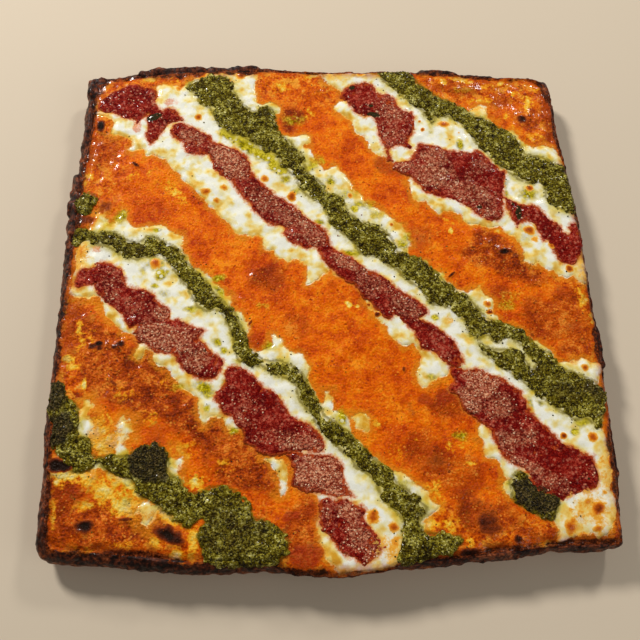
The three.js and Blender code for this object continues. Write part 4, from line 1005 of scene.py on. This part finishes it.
# Yellow-green oil that ran out of the pesto, in the same form
OIL = [
    (-61, 103, 8, 5, 1, -45), (-50, 94.5, 9, 4.6, 1, -45), (-40, 88, 9, 4.4, 1, -30),
    (-31, 79.5, 9, 4.4, 1, -45), (-26, 71, 4, 4, 0.7), (-20, 62, 4, 4, 0.6), (-70, 138, 4.5, 3.5, 0.6),
    (-10, 80, 6, 5, 0.6), (-5, 84, 5, 5, 0.5), (2, 70, 3.4, 3, 0.9), (12, 60, 8, 5, 0.5),
    (22, 53, 8, 4, 0.6), (16, 50, 2.6, 2, 0.9), (30, 46, 8, 4, 0.5), (44, 25, 4, 4, 0.75),
    (48, 30, 3, 4, 0.6), (13, 19.5, 6, 2.4, 0.85), (-5, 41, 3.4, 2.4, 0.8), (61, -21, 2.6, 2, 0.8),
    (126, 60, 5.5, 5, 0.9), (86, 96, 2.6, 3.6, 0.95), (68, 105, 2, 1.5, 0.6), (123, 33, 6, 7, 0.5),
    (-100, 7, 3.4, 4, 0.95), (-103, 14, 5.5, 5, 0.7), (-96, 9, 2, 2, 0.7), (-103, 0, 2.4, 2, 0.85),
    (-97, -5, 3.6, 3, 0.6), (-82, -15, 4, 2.4, 0.7), (-66, -35, 3.4, 3, 0.7), (-62, -40, 3, 3, 0.7),
    (-125, 45, 3.5, 6, 0.8), (-103, 36, 3, 1.6, 0.9), (-110, 9, 3, 3, 0.5), (-132, 41, 10, 4, 0.4),
    (-66, 5, 4, 3, 0.7), (-66, -3, 4.4, 2, 0.9, -45), (-40, -13, 5, 3, 0.35), (-36, -38, 4, 3, 0.6),
    (4, -80, 4, 5, 0.9), (37, -116, 6, 2, 0.5), (70, -91, 4.4, 3, 0.7), (117, -73, 2.4, 2.2, 0.9),
    (134, -90, 3, 2.6, 0.9), (140, -84.5, 5, 3, 0.8, 20), (-72, -62, 6, 4, 0.9, -45),
    (-60, -60, 3, 6, 0.8), (-88, -61, 8, 3, 0.45), (-113, -114, 8, 4, 0.4), (-112, -122, 5, 6, 0.45),
    (105, -12, 9, 8, 0.4), (-71, -73, 2.2, 2, 0.75), (-56, -86, 2.6, 2, 0.8), (111, -74, 2, 5, 0.6),
    (56, -57, 4, 2.4, 0.5), (-20, 114, 9, 5, 0.5), (-137, -80, 3, 5, 0.3), (-92, 126, 6, 5, 0.2),
    (-60, 115, 4, 4, 0.6), (70, 117, 4, 3, 0.4), (92, 138, 8, 3, 0.4), (112, 60, 1.6, 8, 0.7),
    (113, 68, 3, 3, 0.6),
]
# Thin red smears of tomato sauce on the cheese, in the same form
SMEARS = [
    (-119, 108, 2.6, 5, 0.8), (-100, 126, 4, 2.6, 0.65), (-96, 127, 3, 3, 0.5), (38, 80, 9, 6, 0.7, -30),
    (47, 76, 5, 3, 0.6), (-17, -153, 9, 6.5, 0.9), (-25, -132, 6, 2.6, 0.85, 15),
    (-45, -34, 4.5, 5, 0.55), (-32, 3, 6, 5, 0.4), (52, -70, 5, 4, 0.75), (63, -68, 6, 6, 0.8),
    (43, -76, 2.4, 7, 0.5, 20), (-139, -19, 6, 4, 0.45), (-146, 24, 3, 3, 0.4), (-138, 23, 4, 2.4, 0.55),
    (-97, -88, 6, 8, 0.55), (-70, -91, 6, 3, 0.4), (-138, -119, 14, 6, 0.4), (140, -5, 6, 4, 0.5),
    (143, -28, 6, 5, 0.45), (-13, -130, 4, 8, 0.45), (-122, -68, 12, 4, 0.4), (-146, 8, 3, 5, 0.6),
    (-98, 112, 6, 2, 0.3), (42, -33, 2.4, 3, 0.35), (111, 54, 2, 8, 0.5), (-112, -27, 3, 4, 0.5),
    (54, 28, 6, 8, 0.3), (150, 110, 2.6, 16, 0.5), (148, 125, 4, 8, 0.4), (115, -145, 6, 4, 0.4),
    (-18, -29, 6, 1.4, 0.3),
]
# Where the top browned and roughened, in the same form
BROWNED = [
    (-112, -54, 42, 18, 1, -32), (-58, -92, 34, 13, 0.95, -42), (-118, -136, 36, 13, 0.9),
    (-50, -110, 20, 9, 0.8, -20), (-146, -30, 7, 22, 0.5), (106, 16, 28, 12, 0.85, -28),
    (132, -22, 20, 18, 0.6), (142, -40, 12, 8, 0.6), (148, 122, 7, 32, 0.8), (132, 116, 9, 8, 0.75),
    (116, 130, 9, 7, 0.6), (142, 98, 8, 6, 0.5), (60, -108, 28, 14, 0.5, -35), (78, -134, 18, 12, 0.6),
    (-22, 115, 9, 9, 0.7), (-36, 6, 14, 10, 0.6), (-22, -26, 8, 10, 0.4), (-140, 92, 10, 16, 0.5),
    (-110, 50, 12, 8, 0.2), (55, 30, 8, 10, 0.5), (90, 140, 26, 6, 0.5), (-20, -140, 10, 22, 0.7),
    (110, -148, 26, 7, 0.65), (66, -72, 14, 10, 0.6), (100, -8, 10, 9, 0.45), (-120, 148, 26, 5, 0.7),
    (-130, -90, 16, 12, 0.6), (-146, -118, 12, 20, 0.7), (136, -134, 18, 14, 0.5),
]


def sheet_inside(ring, count):
    """A grid of points that fills a four-cornered outline, its edges lying on the outline."""
    corners = [np.argmax(ring @ np.array(way)) for way in ((-1, -1), (1, -1), (1, 1), (-1, 1))]
    sides = []
    for start, end in zip(corners, corners[1:] + corners[:1]):
        steps = (end - start) % len(ring)
        sides.append(evenly(ring[(start + np.arange(steps + 1)) % len(ring)], count + 1))
    front, right, back, left = sides[0], sides[1], sides[2][::-1], sides[3][::-1]
    u = np.linspace(0, 1, count + 1)[None, :, None]
    v = np.linspace(0, 1, count + 1)[:, None, None]
    edges = (1 - v) * front[None] + v * back[None] + (1 - u) * left[:, None] + u * right[:, None]
    folded = (1 - v) * ((1 - u) * front[0] + u * front[-1]) + v * ((1 - u) * back[0] + u * back[-1])
    return edges - folded


def baked_marks(x, y):
    """The values that colour the baked surface at each point, whichever piece it belongs to."""
    flat = level(x, y)
    bands = [MELTED.get(name, 1) * depth_inside(outlines, x, y) for name, outlines in WHITE.items()]
    white = np.max(bands, axis=0)
    red = depth_inside([outline for outlines in TOMATO.values() for outline in outlines], x, y)
    green = depth_inside([outline for outlines in PESTO.values() for outline in outlines], x, y)
    ragged = 0.3 * cloud(flat, 5, 35, 2)
    return {
        "white": np.clip(white + 1.5 * cloud(flat, 6, 31, 3) + 0.5 * cloud(flat, 1.8, 33), -12, 12),
        "red": np.clip(red, -20, 3),
        "green": np.clip(green, -20, 3),
        "rim": np.clip(depth_inside([cheese_ring - PAN_MIDDLE], x, y), -6, 50),
        "caught": soft_patches(CAUGHT, x, y, ragged),
        "pale": soft_patches(PALE, x, y, ragged + 0.3 * cloud(flat, 2.4, 39, 2), 0.0, 1.7),
        "brown": soft_patches(SPOTS, x, y, 0.9 * ragged, 0.0, 1.7),
        "oil": soft_patches(OIL, x, y, ragged + 0.25 * cloud(flat, 2.4, 55), 0.0, 1.8),
        "smear": soft_patches(SMEARS, x, y, ragged),
        "browned": soft_patches(BROWNED, x, y, 0.4 * cloud(flat, 12, 37, 3)),
        "curd": cloud(flat, 7, 51, 2),
        "crumbs": (0.12 + smooth_step(green, -9, -2)) * (np.maximum(green, red) < -0.5),
    }


def baked_relief(flat, marks):
    """Grain, melted edges and blisters of the baked surface, above its slow lumps."""
    rough = 0.35 + np.maximum(1.15 * marks["browned"], 0.6 * smooth_step(marks["rim"], 34, 8))
    grain = rough * (0.34 * cloud(flat, 5, 41, 2) + 0.26 * cloud(flat, 2.4, 43))
    blister = (0.7 - 0.4 * smooth_step(marks["brown"], 0.7, 1.0)) * smooth_step(marks["brown"], 0.1, 0.5)
    char = smooth_step(marks["brown"], 0.5, 0.9) * cloud(flat, 2.0, 57, 2)
    return grain + blister + 0.7 * char


def way_out(points):
    """How far points lie from the slab's edge, at 0, towards the crust's outline, at 1."""
    turn = np.arctan2(points[:, 1], points[:, 0])
    near, far = [
        np.interp(turn, np.arctan2(line[:, 1], line[:, 0]), np.hypot(*line.T), period=2 * math.pi)
        for line in (cheese_ring, outer_line)
    ]
    return (np.hypot(*points.T) - near) / (far - near)


rim_gap = 1 / np.maximum(1e-6, way_out(cheese_ring * 1.001)) * 0.001
cheese_sheet = sheet_inside(cheese_ring * (1 + CHEESE_SPILL * rim_gap[:, None]), CHEESE_GRID).reshape(-1, 2)
cheese_x, cheese_y = cheese_sheet.T
cheese_marks = baked_marks(cheese_x, cheese_y)
cheese_marks["crumbs"] *= (cheese_marks["white"] < -0.5) & (cheese_marks["rim"] > 3)
cheese_flat = level(cheese_x, cheese_y)
cheese_edge = smooth_step(cheese_marks["rim"] + 1.4 * cloud(cheese_flat, 7, 45, 2), 4.5, -0.6)
cheese_z = ground(cheese_x, cheese_y) + baked_relief(cheese_flat, cheese_marks)
cheese_z -= CHEESE_EDGE_DROP * cheese_edge
cheese_out = way_out(cheese_sheet)
cheese_over = 0.35 + 0.8 * (cloud(cheese_flat, 8, 47, 2) + 0.6 * cloud(cheese_flat, 3, 49))
cheese_over -= 1.7 * smooth_step(cheese_out, 0.08, 0.55) + 0.8 * cheese_marks["caught"]
on_rim = np.nonzero(cheese_marks["rim"] < 1)[0]
share = smooth_step(cheese_marks["rim"][on_rim], 0.9, -0.5)
rim_z = np.array([rim_height(x, y) for x, y in cheese_sheet[on_rim]]) + cheese_over[on_rim]
cheese_z[on_rim] += share * (rim_z - cheese_z[on_rim])
cheese_faces = [
    (row + k, row + k + 1, row + k + CHEESE_GRID + 2, row + k + CHEESE_GRID + 1)
    for row in range(0, CHEESE_GRID * (CHEESE_GRID + 1), CHEESE_GRID + 1)
    for k in range(CHEESE_GRID)
]
baked_cheese = mesh_piece(
    "baked_cheese_top", np.stack([cheese_x, cheese_y, cheese_z], axis=1), cheese_faces, cheese_marks)
close_below(baked_cheese, CHEESE_BOTTOM)

BAKED_MARKS = ("white", "red", "green", "rim", "pale", "brown", "oil", "smear", "browned", "curd", "caught")


def baked_top_group():
    """Colour, roughness and height of the baked surface, for the cheese and the mozzarella alike."""
    group = bpy.data.node_groups.new("baked top", "ShaderNodeTree")
    for name in BAKED_MARKS:
        group.interface.new_socket(name, in_out="INPUT", socket_type="NodeSocketFloat")
    group.interface.new_socket("Colour", in_out="OUTPUT", socket_type="NodeSocketColor")
    for name in ("Roughness", "Height", "Wetness"):
        group.interface.new_socket(name, in_out="OUTPUT", socket_type="NodeSocketFloat")
    w = Wiring(group)
    given = w.put("NodeGroupInput").outputs
    middle = w.noise(5, 4, 0.6)
    broad = w.noise(18, 3, shift=0.3)
    fine = w.noise(1.3, 3, 0.6, shift=0.1)

    # Orange cheese: calm in the middle, mottled towards the rim, darker where it browned, pale in patches
    calm = w.shades(w.sum((middle, 0.3), (broad, 0.4), (fine, 0.3)), [
        (0.39, 182, 56, 0), (0.46, 218, 87, 0), (0.5, 232, 101, 0), (0.54, 241, 116, 0),
        (0.6, 253, 146, 20),
    ])
    flecks = w.sum(w.cells(3.2, shift=0.6), (w.noise(6, 2, shift=1.7), -0.9), (fine, 0.3))
    flecks = w.step(flecks, -0.1, -0.26)
    calm = w.mix(w.times(flecks, 0.7), calm, (150, 44, 0))
    calm = w.mix(w.times(w.step(w.noise(7, 3, shift=9.1), 0.56, 0.66), 0.5), calm, (180, 60, 0))
    # Small bright yellow-orange specks: partly grains of cheese, partly painted glints on the oily surface
    specks_and_glints = w.sum(w.cells(2.2, shift=1.9), (w.noise(5, 2, shift=2.3), -0.9), (fine, 0.3))
    specks_and_glints = w.step(specks_and_glints, -0.08, -0.22)
    calm = w.mix(w.times(specks_and_glints, 0.5), calm, (252, 160, 40))
    rough_tone = w.sum((middle, 0.45), (w.noise(9, 3, shift=0.8), 0.2), (fine, 0.35))
    yellowed = w.step(w.sum((w.noise(8, 3, 0.6, shift=12.3), 0.75), (fine, 0.25)), 0.51, 0.61)
    mottled = w.shades(rough_tone, [
        (0.4, 150, 46, 0), (0.46, 194, 74, 0), (0.5, 220, 96, 0), (0.54, 234, 116, 4),
        (0.59, 246, 158, 44), (0.66, 250, 206, 112),
    ])
    mottled = w.mix(w.times(yellowed, 0.6), mottled, (246, 172, 52))
    browned = w.shades(w.sum((middle, 0.35), (broad, 0.35), (fine, 0.3)), [
        (0.4, 108, 32, 0), (0.46, 150, 50, 0), (0.5, 180, 70, 2), (0.54, 208, 92, 10),
        (0.61, 240, 142, 44),
    ])
    # The same specks on the browned cheese: partly grains, partly painted glints
    browned = w.mix(w.times(specks_and_glints, 0.6), browned, (244, 156, 56))
    browned = w.mix(w.times(flecks, 0.7), browned, (92, 28, 0))
    orange = w.mix(w.step(w.sum(given["rim"], (broad, 30.0), -15.0), 34.0, 10.0), calm, mottled)
    orange = w.mix(w.step(w.sum(given["browned"], (middle, 1.2), (fine, 0.5)), 0.95, 1.6), orange, browned)
    pale = w.sum((given["pale"], 1.35), (middle, 1.4), (w.noise(3, 2, shift=5.3), 1.1), (fine, 0.8), -1.97)
    golden = w.shades(pale, [
        (0.05, 236, 120, 0), (0.25, 244, 152, 10), (0.48, 248, 188, 48), (0.75, 248, 214, 100),
        (1.0, 247, 232, 160),
    ])
    orange = w.mix(w.times(w.step(pale, -0.1, 0.45), w.step(given["pale"], 0.02, 0.3)), orange, golden)

    # White cheese, yellower where it thins out, with an orange halo round it
    curds = w.sum(
        (given["curd"], 0.03), (w.noise(9, 2, 0.4, shift=4.1), 0.65), (w.noise(3.6, 1, 0.4, shift=0.6), 0.3),
        (fine, 0.05), (w.step(given["white"], 0.0, 9.0), 0.09), -0.04)
    white = w.shades(curds, [
        (0.34, 224, 164, 46), (0.41, 238, 200, 98), (0.47, 242, 222, 148), (0.52, 243, 236, 194),
        (0.58, 244, 243, 228),
    ])
    reach = w.sum(given["white"], (middle, 3.0), (fine, 2.4), -2.7)
    wide = w.sum(reach, (w.noise(8, 3, shift=6.2), -8.0), 4.4)
    white = w.mix(w.times(w.step(wide, 1.8, -0.6), 0.8), white, (238, 176, 60))
    halo = w.mix(w.times(w.step(wide, -4.0, -0.2), 0.7), orange, (226, 134, 20))
    colour = w.mix(w.step(reach, -0.6, 0.5), halo, white)

    # Oil from the pesto with bubbles in it, and the stains round and under the sauces
    oily = w.sum((given["oil"], 1.4), (middle, 1.1), (w.noise(2.4, 2, shift=7.7), 0.5), (fine, 0.3), -1.08)
    oil = w.shades(w.sum((fine, 0.6), (middle, 0.4)), [
        (0.38, 104, 94, 0), (0.46, 154, 138, 0), (0.53, 192, 172, 4), (0.62, 230, 212, 80),
    ])
    bubbles = w.times(w.step(w.cells(4.2, shift=8.5), 0.32, 0.2), w.step(given["oil"], 0.5, 0.8))
    oil = w.mix(w.times(bubbles, 0.9), oil, (240, 238, 206))
    colour = w.mix(w.times(w.step(oily, 0.05, 0.9), w.step(given["oil"], 0.02, 0.3)), colour, oil)
    near = w.sum(given["green"], (middle, 4.0), (fine, 3.0), -3.5)
    washed = w.times(w.step(w.sum((broad, 0.6), (middle, 0.4)), 0.37, 0.53), w.step(reach, -1.0, 1.0))
    colour = w.mix(w.times(w.times(w.step(near, -4.8, 0.0), 0.75), washed), colour, (200, 184, 56))
    under = w.times(w.step(near, -1.4, 0.2), w.step(given["green"], 2.0, 0.2))
    colour = w.mix(w.times(under, 0.7), colour, (104, 88, 10))
    smeared = w.step(w.sum(given["smear"], (middle, 1.2), (fine, 0.9)), 1.25, 1.9)
    smear = w.mix(w.step(reach, -0.5, 0.5), (160, 44, 12), (222, 112, 44))
    colour = w.mix(w.times(smeared, 0.75), colour, smear)
    seep = w.sum(given["red"], (middle, 5.0), (fine, 3.0), -4.0)
    colour = w.mix(w.times(w.step(seep, -1.8, 0.2), 0.75), colour, (218, 122, 34))
    film = w.shades(fine, [(0.4, 116, 18, 6), (0.6, 184, 74, 30)])
    colour = w.mix(w.step(seep, -0.2, 0.8), colour, film)

    # Blisters and burnt spots, and the edge that caught against the pan
    edge = w.sum(given["rim"], (middle, 9.0), (broad, 9.0), (given["caught"], -6.5), -8.0)
    colour = w.mix(w.times(w.step(edge, 8.0, 1.5), 0.65), colour, (168, 62, 2))
    toast = w.sum((given["brown"], 1.35), (fine, 0.35), (middle, 0.5), -0.6)
    browning = w.shades(toast, [
        (0.0, 244, 204, 104), (0.12, 240, 172, 58), (0.24, 224, 132, 28), (0.38, 190, 88, 14),
        (0.56, 136, 54, 10), (0.76, 80, 30, 10), (1.0, 32, 18, 10),
    ])
    toasted = w.blend(w.step(reach, -0.5, 0.5), w.step(toast, 0.26, 0.52), w.step(toast, -0.08, 0.12))
    colour = w.mix(w.times(toasted, w.step(given["brown"], 0.02, 0.12)), colour, browning)
    crusted = w.shades(w.sum((middle, 0.5), (fine, 0.5)), [
        (0.42, 30, 12, 4), (0.5, 82, 32, 10), (0.58, 146, 68, 26),
    ])
    colour = w.mix(w.times(w.step(edge, 2.2, -0.8), 0.95), colour, crusted)

    out = w.put("NodeGroupOutput").inputs
    w.feed(out["Colour"], colour)
    w.feed(out["Roughness"], w.blend(w.step(w.noise(3, 2, shift=0.5), 0.42, 0.62), 0.45, 0.25))
    grain = w.sum((middle, 0.4), (fine, 0.6), (w.cells(1.5), -0.3))
    coarse = w.blend(w.step(reach, -0.6, 0.8), w.blend(given["browned"], 0.6, 1.0), 0.1)
    w.feed(out["Height"], w.times(coarse, grain))
    gathered = w.step(w.noise(8, 2, shift=3.9), 0.42, 0.56)
    gathered = w.blend(gathered, w.blend(given["browned"], 0.25, 0.65), 0.95)
    gathered = w.times(gathered, w.step(given["brown"], 0.9, 0.5))
    w.feed(out["Wetness"], w.times(w.step(w.noise(0.9, 2, shift=0.9), 0.52, 0.6), gathered))
    return group


baked_top = baked_top_group()


def baked_look(w):
    """The baked surface's look, fed by the values stored on the piece."""
    group = w.put("ShaderNodeGroup", node_tree=baked_top)
    for mark in BAKED_MARKS:
        w.feed(group.inputs[mark], w.mark(mark))
    return [group.outputs[name] for name in ("Colour", "Roughness", "Height", "Wetness")]


def baked_material(name):
    return food_material(name, baked_look, depth=1.6, specular=0.05, wet_roughness=0.16)


baked_cheese.data.materials.append(baked_material("cheese baked with orange sauce"))
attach(baked_cheese, "root")
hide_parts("baked_cheese")


# Mozzarella
# Fresh cheese laid on in diagonal bands, which melted, puffed and set again as low, smooth, lumpy
# cushions. Their edges sink into the baked cheese, so both surfaces share one set of colours.
MOZZARELLA_STEP = 0.85
MOZZARELLA_RISE = 0.95
MOZZARELLA_MARGIN = 1.4
MOZZARELLA_BOTTOM = 19.2

mozzarella_pieces = []
for name, outlines in WHITE.items():
    x, y, depth, faces = sheet_over(outlines, MOZZARELLA_STEP, MOZZARELLA_MARGIN)
    marks = baked_marks(x, y)
    marks["crumbs"] *= depth > 0.5
    flat = level(x, y)
    soft = depth + 1.2 * cloud(flat, 6, 31, 3)
    puff = MOZZARELLA_RISE * (1 - np.exp(-np.clip(soft, 0, 30) / 2.0)) + 1.1 * np.minimum(soft, 0) - 0.1
    lumps = 0.4 * marks["curd"] * smooth_step(depth, -0.5, 3)
    z = ground(x, y) + puff + lumps + baked_relief(flat, marks) * 0.4
    z -= 1.6 * smooth_step(marks["rim"], 1.5, -0.5)
    piece = mesh_piece(name + "_melted", np.stack([x, y, z], axis=1), faces, marks)
    close_below(piece, MOZZARELLA_BOTTOM)
    piece.data.materials.append(baked_material("melted mozzarella"))
    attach(piece, "root")
    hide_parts(name)
    mozzarella_pieces.append(piece)


# Crumbs
# Grated hard cheese on the tomato sauce, bits of nut and leaf in the pesto, and dark flecks of herbs on
# the cheese round it. Each kind is scattered by one tree and is then a plain mesh of small crumbs.
# Each kind: what it lies on, its slot, how many to a square millimetre, smallest and largest radius, tones
CRUMBS = {
    "grated_cheese_crumbs": (tomato_pieces, "tomato", 0.36, 0.22, 0.75, [
        (0.0, 150, 50, 28), (0.5, 206, 120, 84), (1.0, 252, 214, 176)]),
    "pesto_crumbs": (pesto_pieces, "pesto", 0.36, 0.25, 0.7, [
        (0.0, 22, 18, 0), (0.45, 70, 60, 6), (0.75, 124, 114, 34), (0.9, 172, 162, 84),
        (1.0, 206, 196, 130)]),
    "herb_flecks": ([baked_cheese] + mozzarella_pieces, "pesto", 0.014, 0.15, 0.65, [
        (0.0, 34, 28, 4), (0.6, 76, 68, 10), (0.9, 118, 106, 16), (1.0, 132, 40, 10)]),
}


def crumb_tree():
    """Scatters small rounded crumbs over a surface where its point value named crumbs allows."""
    tree = bpy.data.node_groups.new("scatter crumbs", "GeometryNodeTree")
    face = tree.interface
    face.new_socket("Geometry", in_out="INPUT", socket_type="NodeSocketGeometry")
    for name in ("Per square millimetre", "Smallest", "Largest"):
        face.new_socket(name, in_out="INPUT", socket_type="NodeSocketFloat")
    face.new_socket("Seed", in_out="INPUT", socket_type="NodeSocketInt")
    face.new_socket("Material", in_out="INPUT", socket_type="NodeSocketMaterial")
    face.new_socket("Geometry", in_out="OUTPUT", socket_type="NodeSocketGeometry")
    w = Wiring(tree)
    given = w.put("NodeGroupInput").outputs
    allowed = w.put("GeometryNodeInputNamedAttribute", data_type="FLOAT")
    allowed.inputs["Name"].default_value = "crumbs"
    per_square_metre = w.math("MULTIPLY", given["Per square millimetre"], 1 / MM ** 2)
    points = w.put("GeometryNodeDistributePointsOnFaces", distribute_method="RANDOM")
    w.feed(points.inputs["Mesh"], given["Geometry"])
    w.feed(points.inputs["Density"], w.math("MULTIPLY", allowed.outputs["Attribute"], per_square_metre))
    w.feed(points.inputs["Seed"], given["Seed"])
    ball = w.put("GeometryNodeMeshIcoSphere")
    ball.inputs["Radius"].default_value = MM
    ball.inputs["Subdivisions"].default_value = 1
    turn = w.put("FunctionNodeRandomValue", data_type="FLOAT_VECTOR")
    turn.inputs[1].default_value = (2 * math.pi,) * 3
    size = w.put("FunctionNodeRandomValue", data_type="FLOAT_VECTOR")
    w.feed(size.inputs[0], given["Smallest"])
    w.feed(size.inputs[1], given["Largest"])
    crumbs = w.put("GeometryNodeInstanceOnPoints")
    w.feed(crumbs.inputs["Points"], points.outputs["Points"])
    w.feed(crumbs.inputs["Instance"], ball.outputs["Mesh"])
    w.feed(crumbs.inputs["Rotation"], turn.outputs[0])
    w.feed(crumbs.inputs["Scale"], size.outputs[0])
    tone = w.put("FunctionNodeRandomValue", data_type="FLOAT")
    store = w.put("GeometryNodeStoreNamedAttribute", data_type="FLOAT", domain="INSTANCE")
    store.inputs["Name"].default_value = "tone"
    w.feed(store.inputs["Geometry"], crumbs.outputs["Instances"])
    w.feed(store.inputs["Value"], tone.outputs[1])
    real = w.put("GeometryNodeRealizeInstances")
    w.feed(real.inputs[0], store.outputs[0])
    coat = w.put("GeometryNodeSetMaterial")
    w.feed(coat.inputs["Geometry"], real.outputs[0])
    w.feed(coat.inputs["Material"], given["Material"])
    w.feed(w.put("NodeGroupOutput").inputs[0], coat.outputs[0])
    return tree


def joined_copy(name, pieces):
    """One mesh holding copies of several pieces."""
    joined = bmesh.new()
    for piece in pieces:
        joined.from_mesh(piece.data)
    mesh = bpy.data.meshes.new(name)
    joined.to_mesh(mesh)
    joined.free()
    copy = bpy.data.objects.new(name, mesh)
    bpy.context.scene.collection.objects.link(copy)
    return copy


def crumb_look(w, tones):
    """One of the tones for each crumb, darker where it charred."""
    colour = w.mix(w.times(w.mark("charred"), 0.8), w.shades(w.mark("tone"), tones), (34, 28, 14))
    return colour, 0.35, w.noise(0.4), 0.0


scatter = crumb_tree()
for seed, (name, (pieces, slot, density, smallest, largest, tones)) in enumerate(CRUMBS.items(), 5):
    carrier = joined_copy(name + "_carrier", pieces)
    material = food_material(
        name.replace("_", " "), lambda w: crumb_look(w, tones), depth=0.2, specular=0.2)
    modifier = carrier.modifiers.new("scatter", "NODES")
    modifier.node_group = scatter
    values = {
        "Per square millimetre": density, "Smallest": smallest, "Largest": largest, "Seed": seed,
        "Material": material,
    }
    for item in scatter.interface.items_tree:
        if item.in_out == "INPUT" and item.name in values:
            modifier[item.identifier] = values[item.name]
    evaluated = carrier.evaluated_get(bpy.context.evaluated_depsgraph_get())
    mesh = bpy.data.meshes.new_from_object(evaluated)
    bpy.data.objects.remove(carrier)
    crumbs = bpy.data.objects.new(name, mesh)
    bpy.context.scene.collection.objects.link(crumbs)
    mesh.polygons.foreach_set("use_smooth", np.ones(len(mesh.polygons), bool))
    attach(crumbs, "root")


# Floor
# A plain, pale, matt surface that the pizza rests on, one flat face. It lies a tenth of a millimetre down,
# so that the floor and the flat underside don't mix.
FLOOR_HEIGHT = -0.1 * MM
FLOOR_REACH = 3
FLOOR_CORNERS = ((-1, -1), (1, -1), (1, 1), (-1, 1))
floor_mesh = bpy.data.meshes.new("floor")
floor_mesh.from_pydata(
    [(x * FLOOR_REACH, y * FLOOR_REACH, FLOOR_HEIGHT) for x, y in FLOOR_CORNERS], [], [(0, 1, 2, 3)])
floor = bpy.data.objects.new("floor", floor_mesh)
bpy.context.scene.collection.objects.link(floor)
floor_material = bpy.data.materials.new("pale floor")
floor_material.use_nodes = True
floor_shader = floor_material.node_tree.nodes["Principled BSDF"]
floor_shader.inputs["Base Color"].default_value = photo_colour(216, 200, 176)
floor_shader.inputs["Roughness"].default_value = 0.8
floor.data.materials.append(floor_material)


# Camera
# It looks down at the pizza from just in front of it, turned a little, as the photograph was taken. Its
# distance and target are in millimetres.
CAMERA_DISTANCE = 422.9
CAMERA_ELEVATION = math.radians(70.71)
CAMERA_AZIMUTH = math.radians(-8.675)
CAMERA_ROLL = math.radians(7.685)
CAMERA_TARGET = Vector((-6.73 + PAN_MIDDLE[0], -22.01 + PAN_MIDDLE[1], 20.9))
CAMERA_LENS = 40.9
back = Vector((
    math.sin(CAMERA_AZIMUTH) * math.cos(CAMERA_ELEVATION),
    -math.cos(CAMERA_AZIMUTH) * math.cos(CAMERA_ELEVATION),
    math.sin(CAMERA_ELEVATION),
))
right = (-back).cross(Vector((0, 0, 1))).normalized()
up = right.cross(-back)
tilted_right = right * math.cos(CAMERA_ROLL) + up * math.sin(CAMERA_ROLL)
tilted_up = -right * math.sin(CAMERA_ROLL) + up * math.cos(CAMERA_ROLL)
camera_data = bpy.data.cameras.new("camera")
camera_data.lens = CAMERA_LENS
camera_data.sensor_width = 36
camera_data.clip_start = 0.01
camera = bpy.data.objects.new("camera", camera_data)
position = (CAMERA_TARGET + back * CAMERA_DISTANCE) * MM
camera.matrix_world = Matrix((
    (tilted_right.x, tilted_up.x, back.x, position.x),
    (tilted_right.y, tilted_up.y, back.y, position.y),
    (tilted_right.z, tilted_up.z, back.z, position.z),
    (0, 0, 0, 1),
))
bpy.context.scene.collection.objects.link(camera)
bpy.context.scene.camera = camera


# Light
# Soft daylight from the back left, with a weaker soft light from the back right, a large, faint one from
# the front right and an even fill.
def soft_light(name, place, size, power, colour):
    data = bpy.data.lights.new(name, "AREA")
    data.shape = "DISK"
    data.size = size
    data.energy = power
    data.color = colour
    light = bpy.data.objects.new(name, data)
    light.location = place
    light.rotation_euler = (-Vector(place)).to_track_quat("-Z", "Y").to_euler()
    bpy.context.scene.collection.objects.link(light)


soft_light("window", (-0.9, 1.1, 1.1), 0.32, 26, (1.0, 0.98, 0.95))
soft_light("side window", (0.7, 1.2, 1.0), 0.25, 7, (1.0, 0.98, 0.95))
soft_light("bounce", (0.9, -0.5, 0.8), 1.0, 3, (1.0, 0.97, 0.93))
world = bpy.data.worlds.new("studio")
world.use_nodes = True
world.node_tree.nodes["Background"].inputs["Color"].default_value = (1.0, 0.98, 0.96, 1)
world.node_tree.nodes["Background"].inputs["Strength"].default_value = 0.16
bpy.context.scene.world = world
bpy.context.scene.view_settings.view_transform = "Standard"
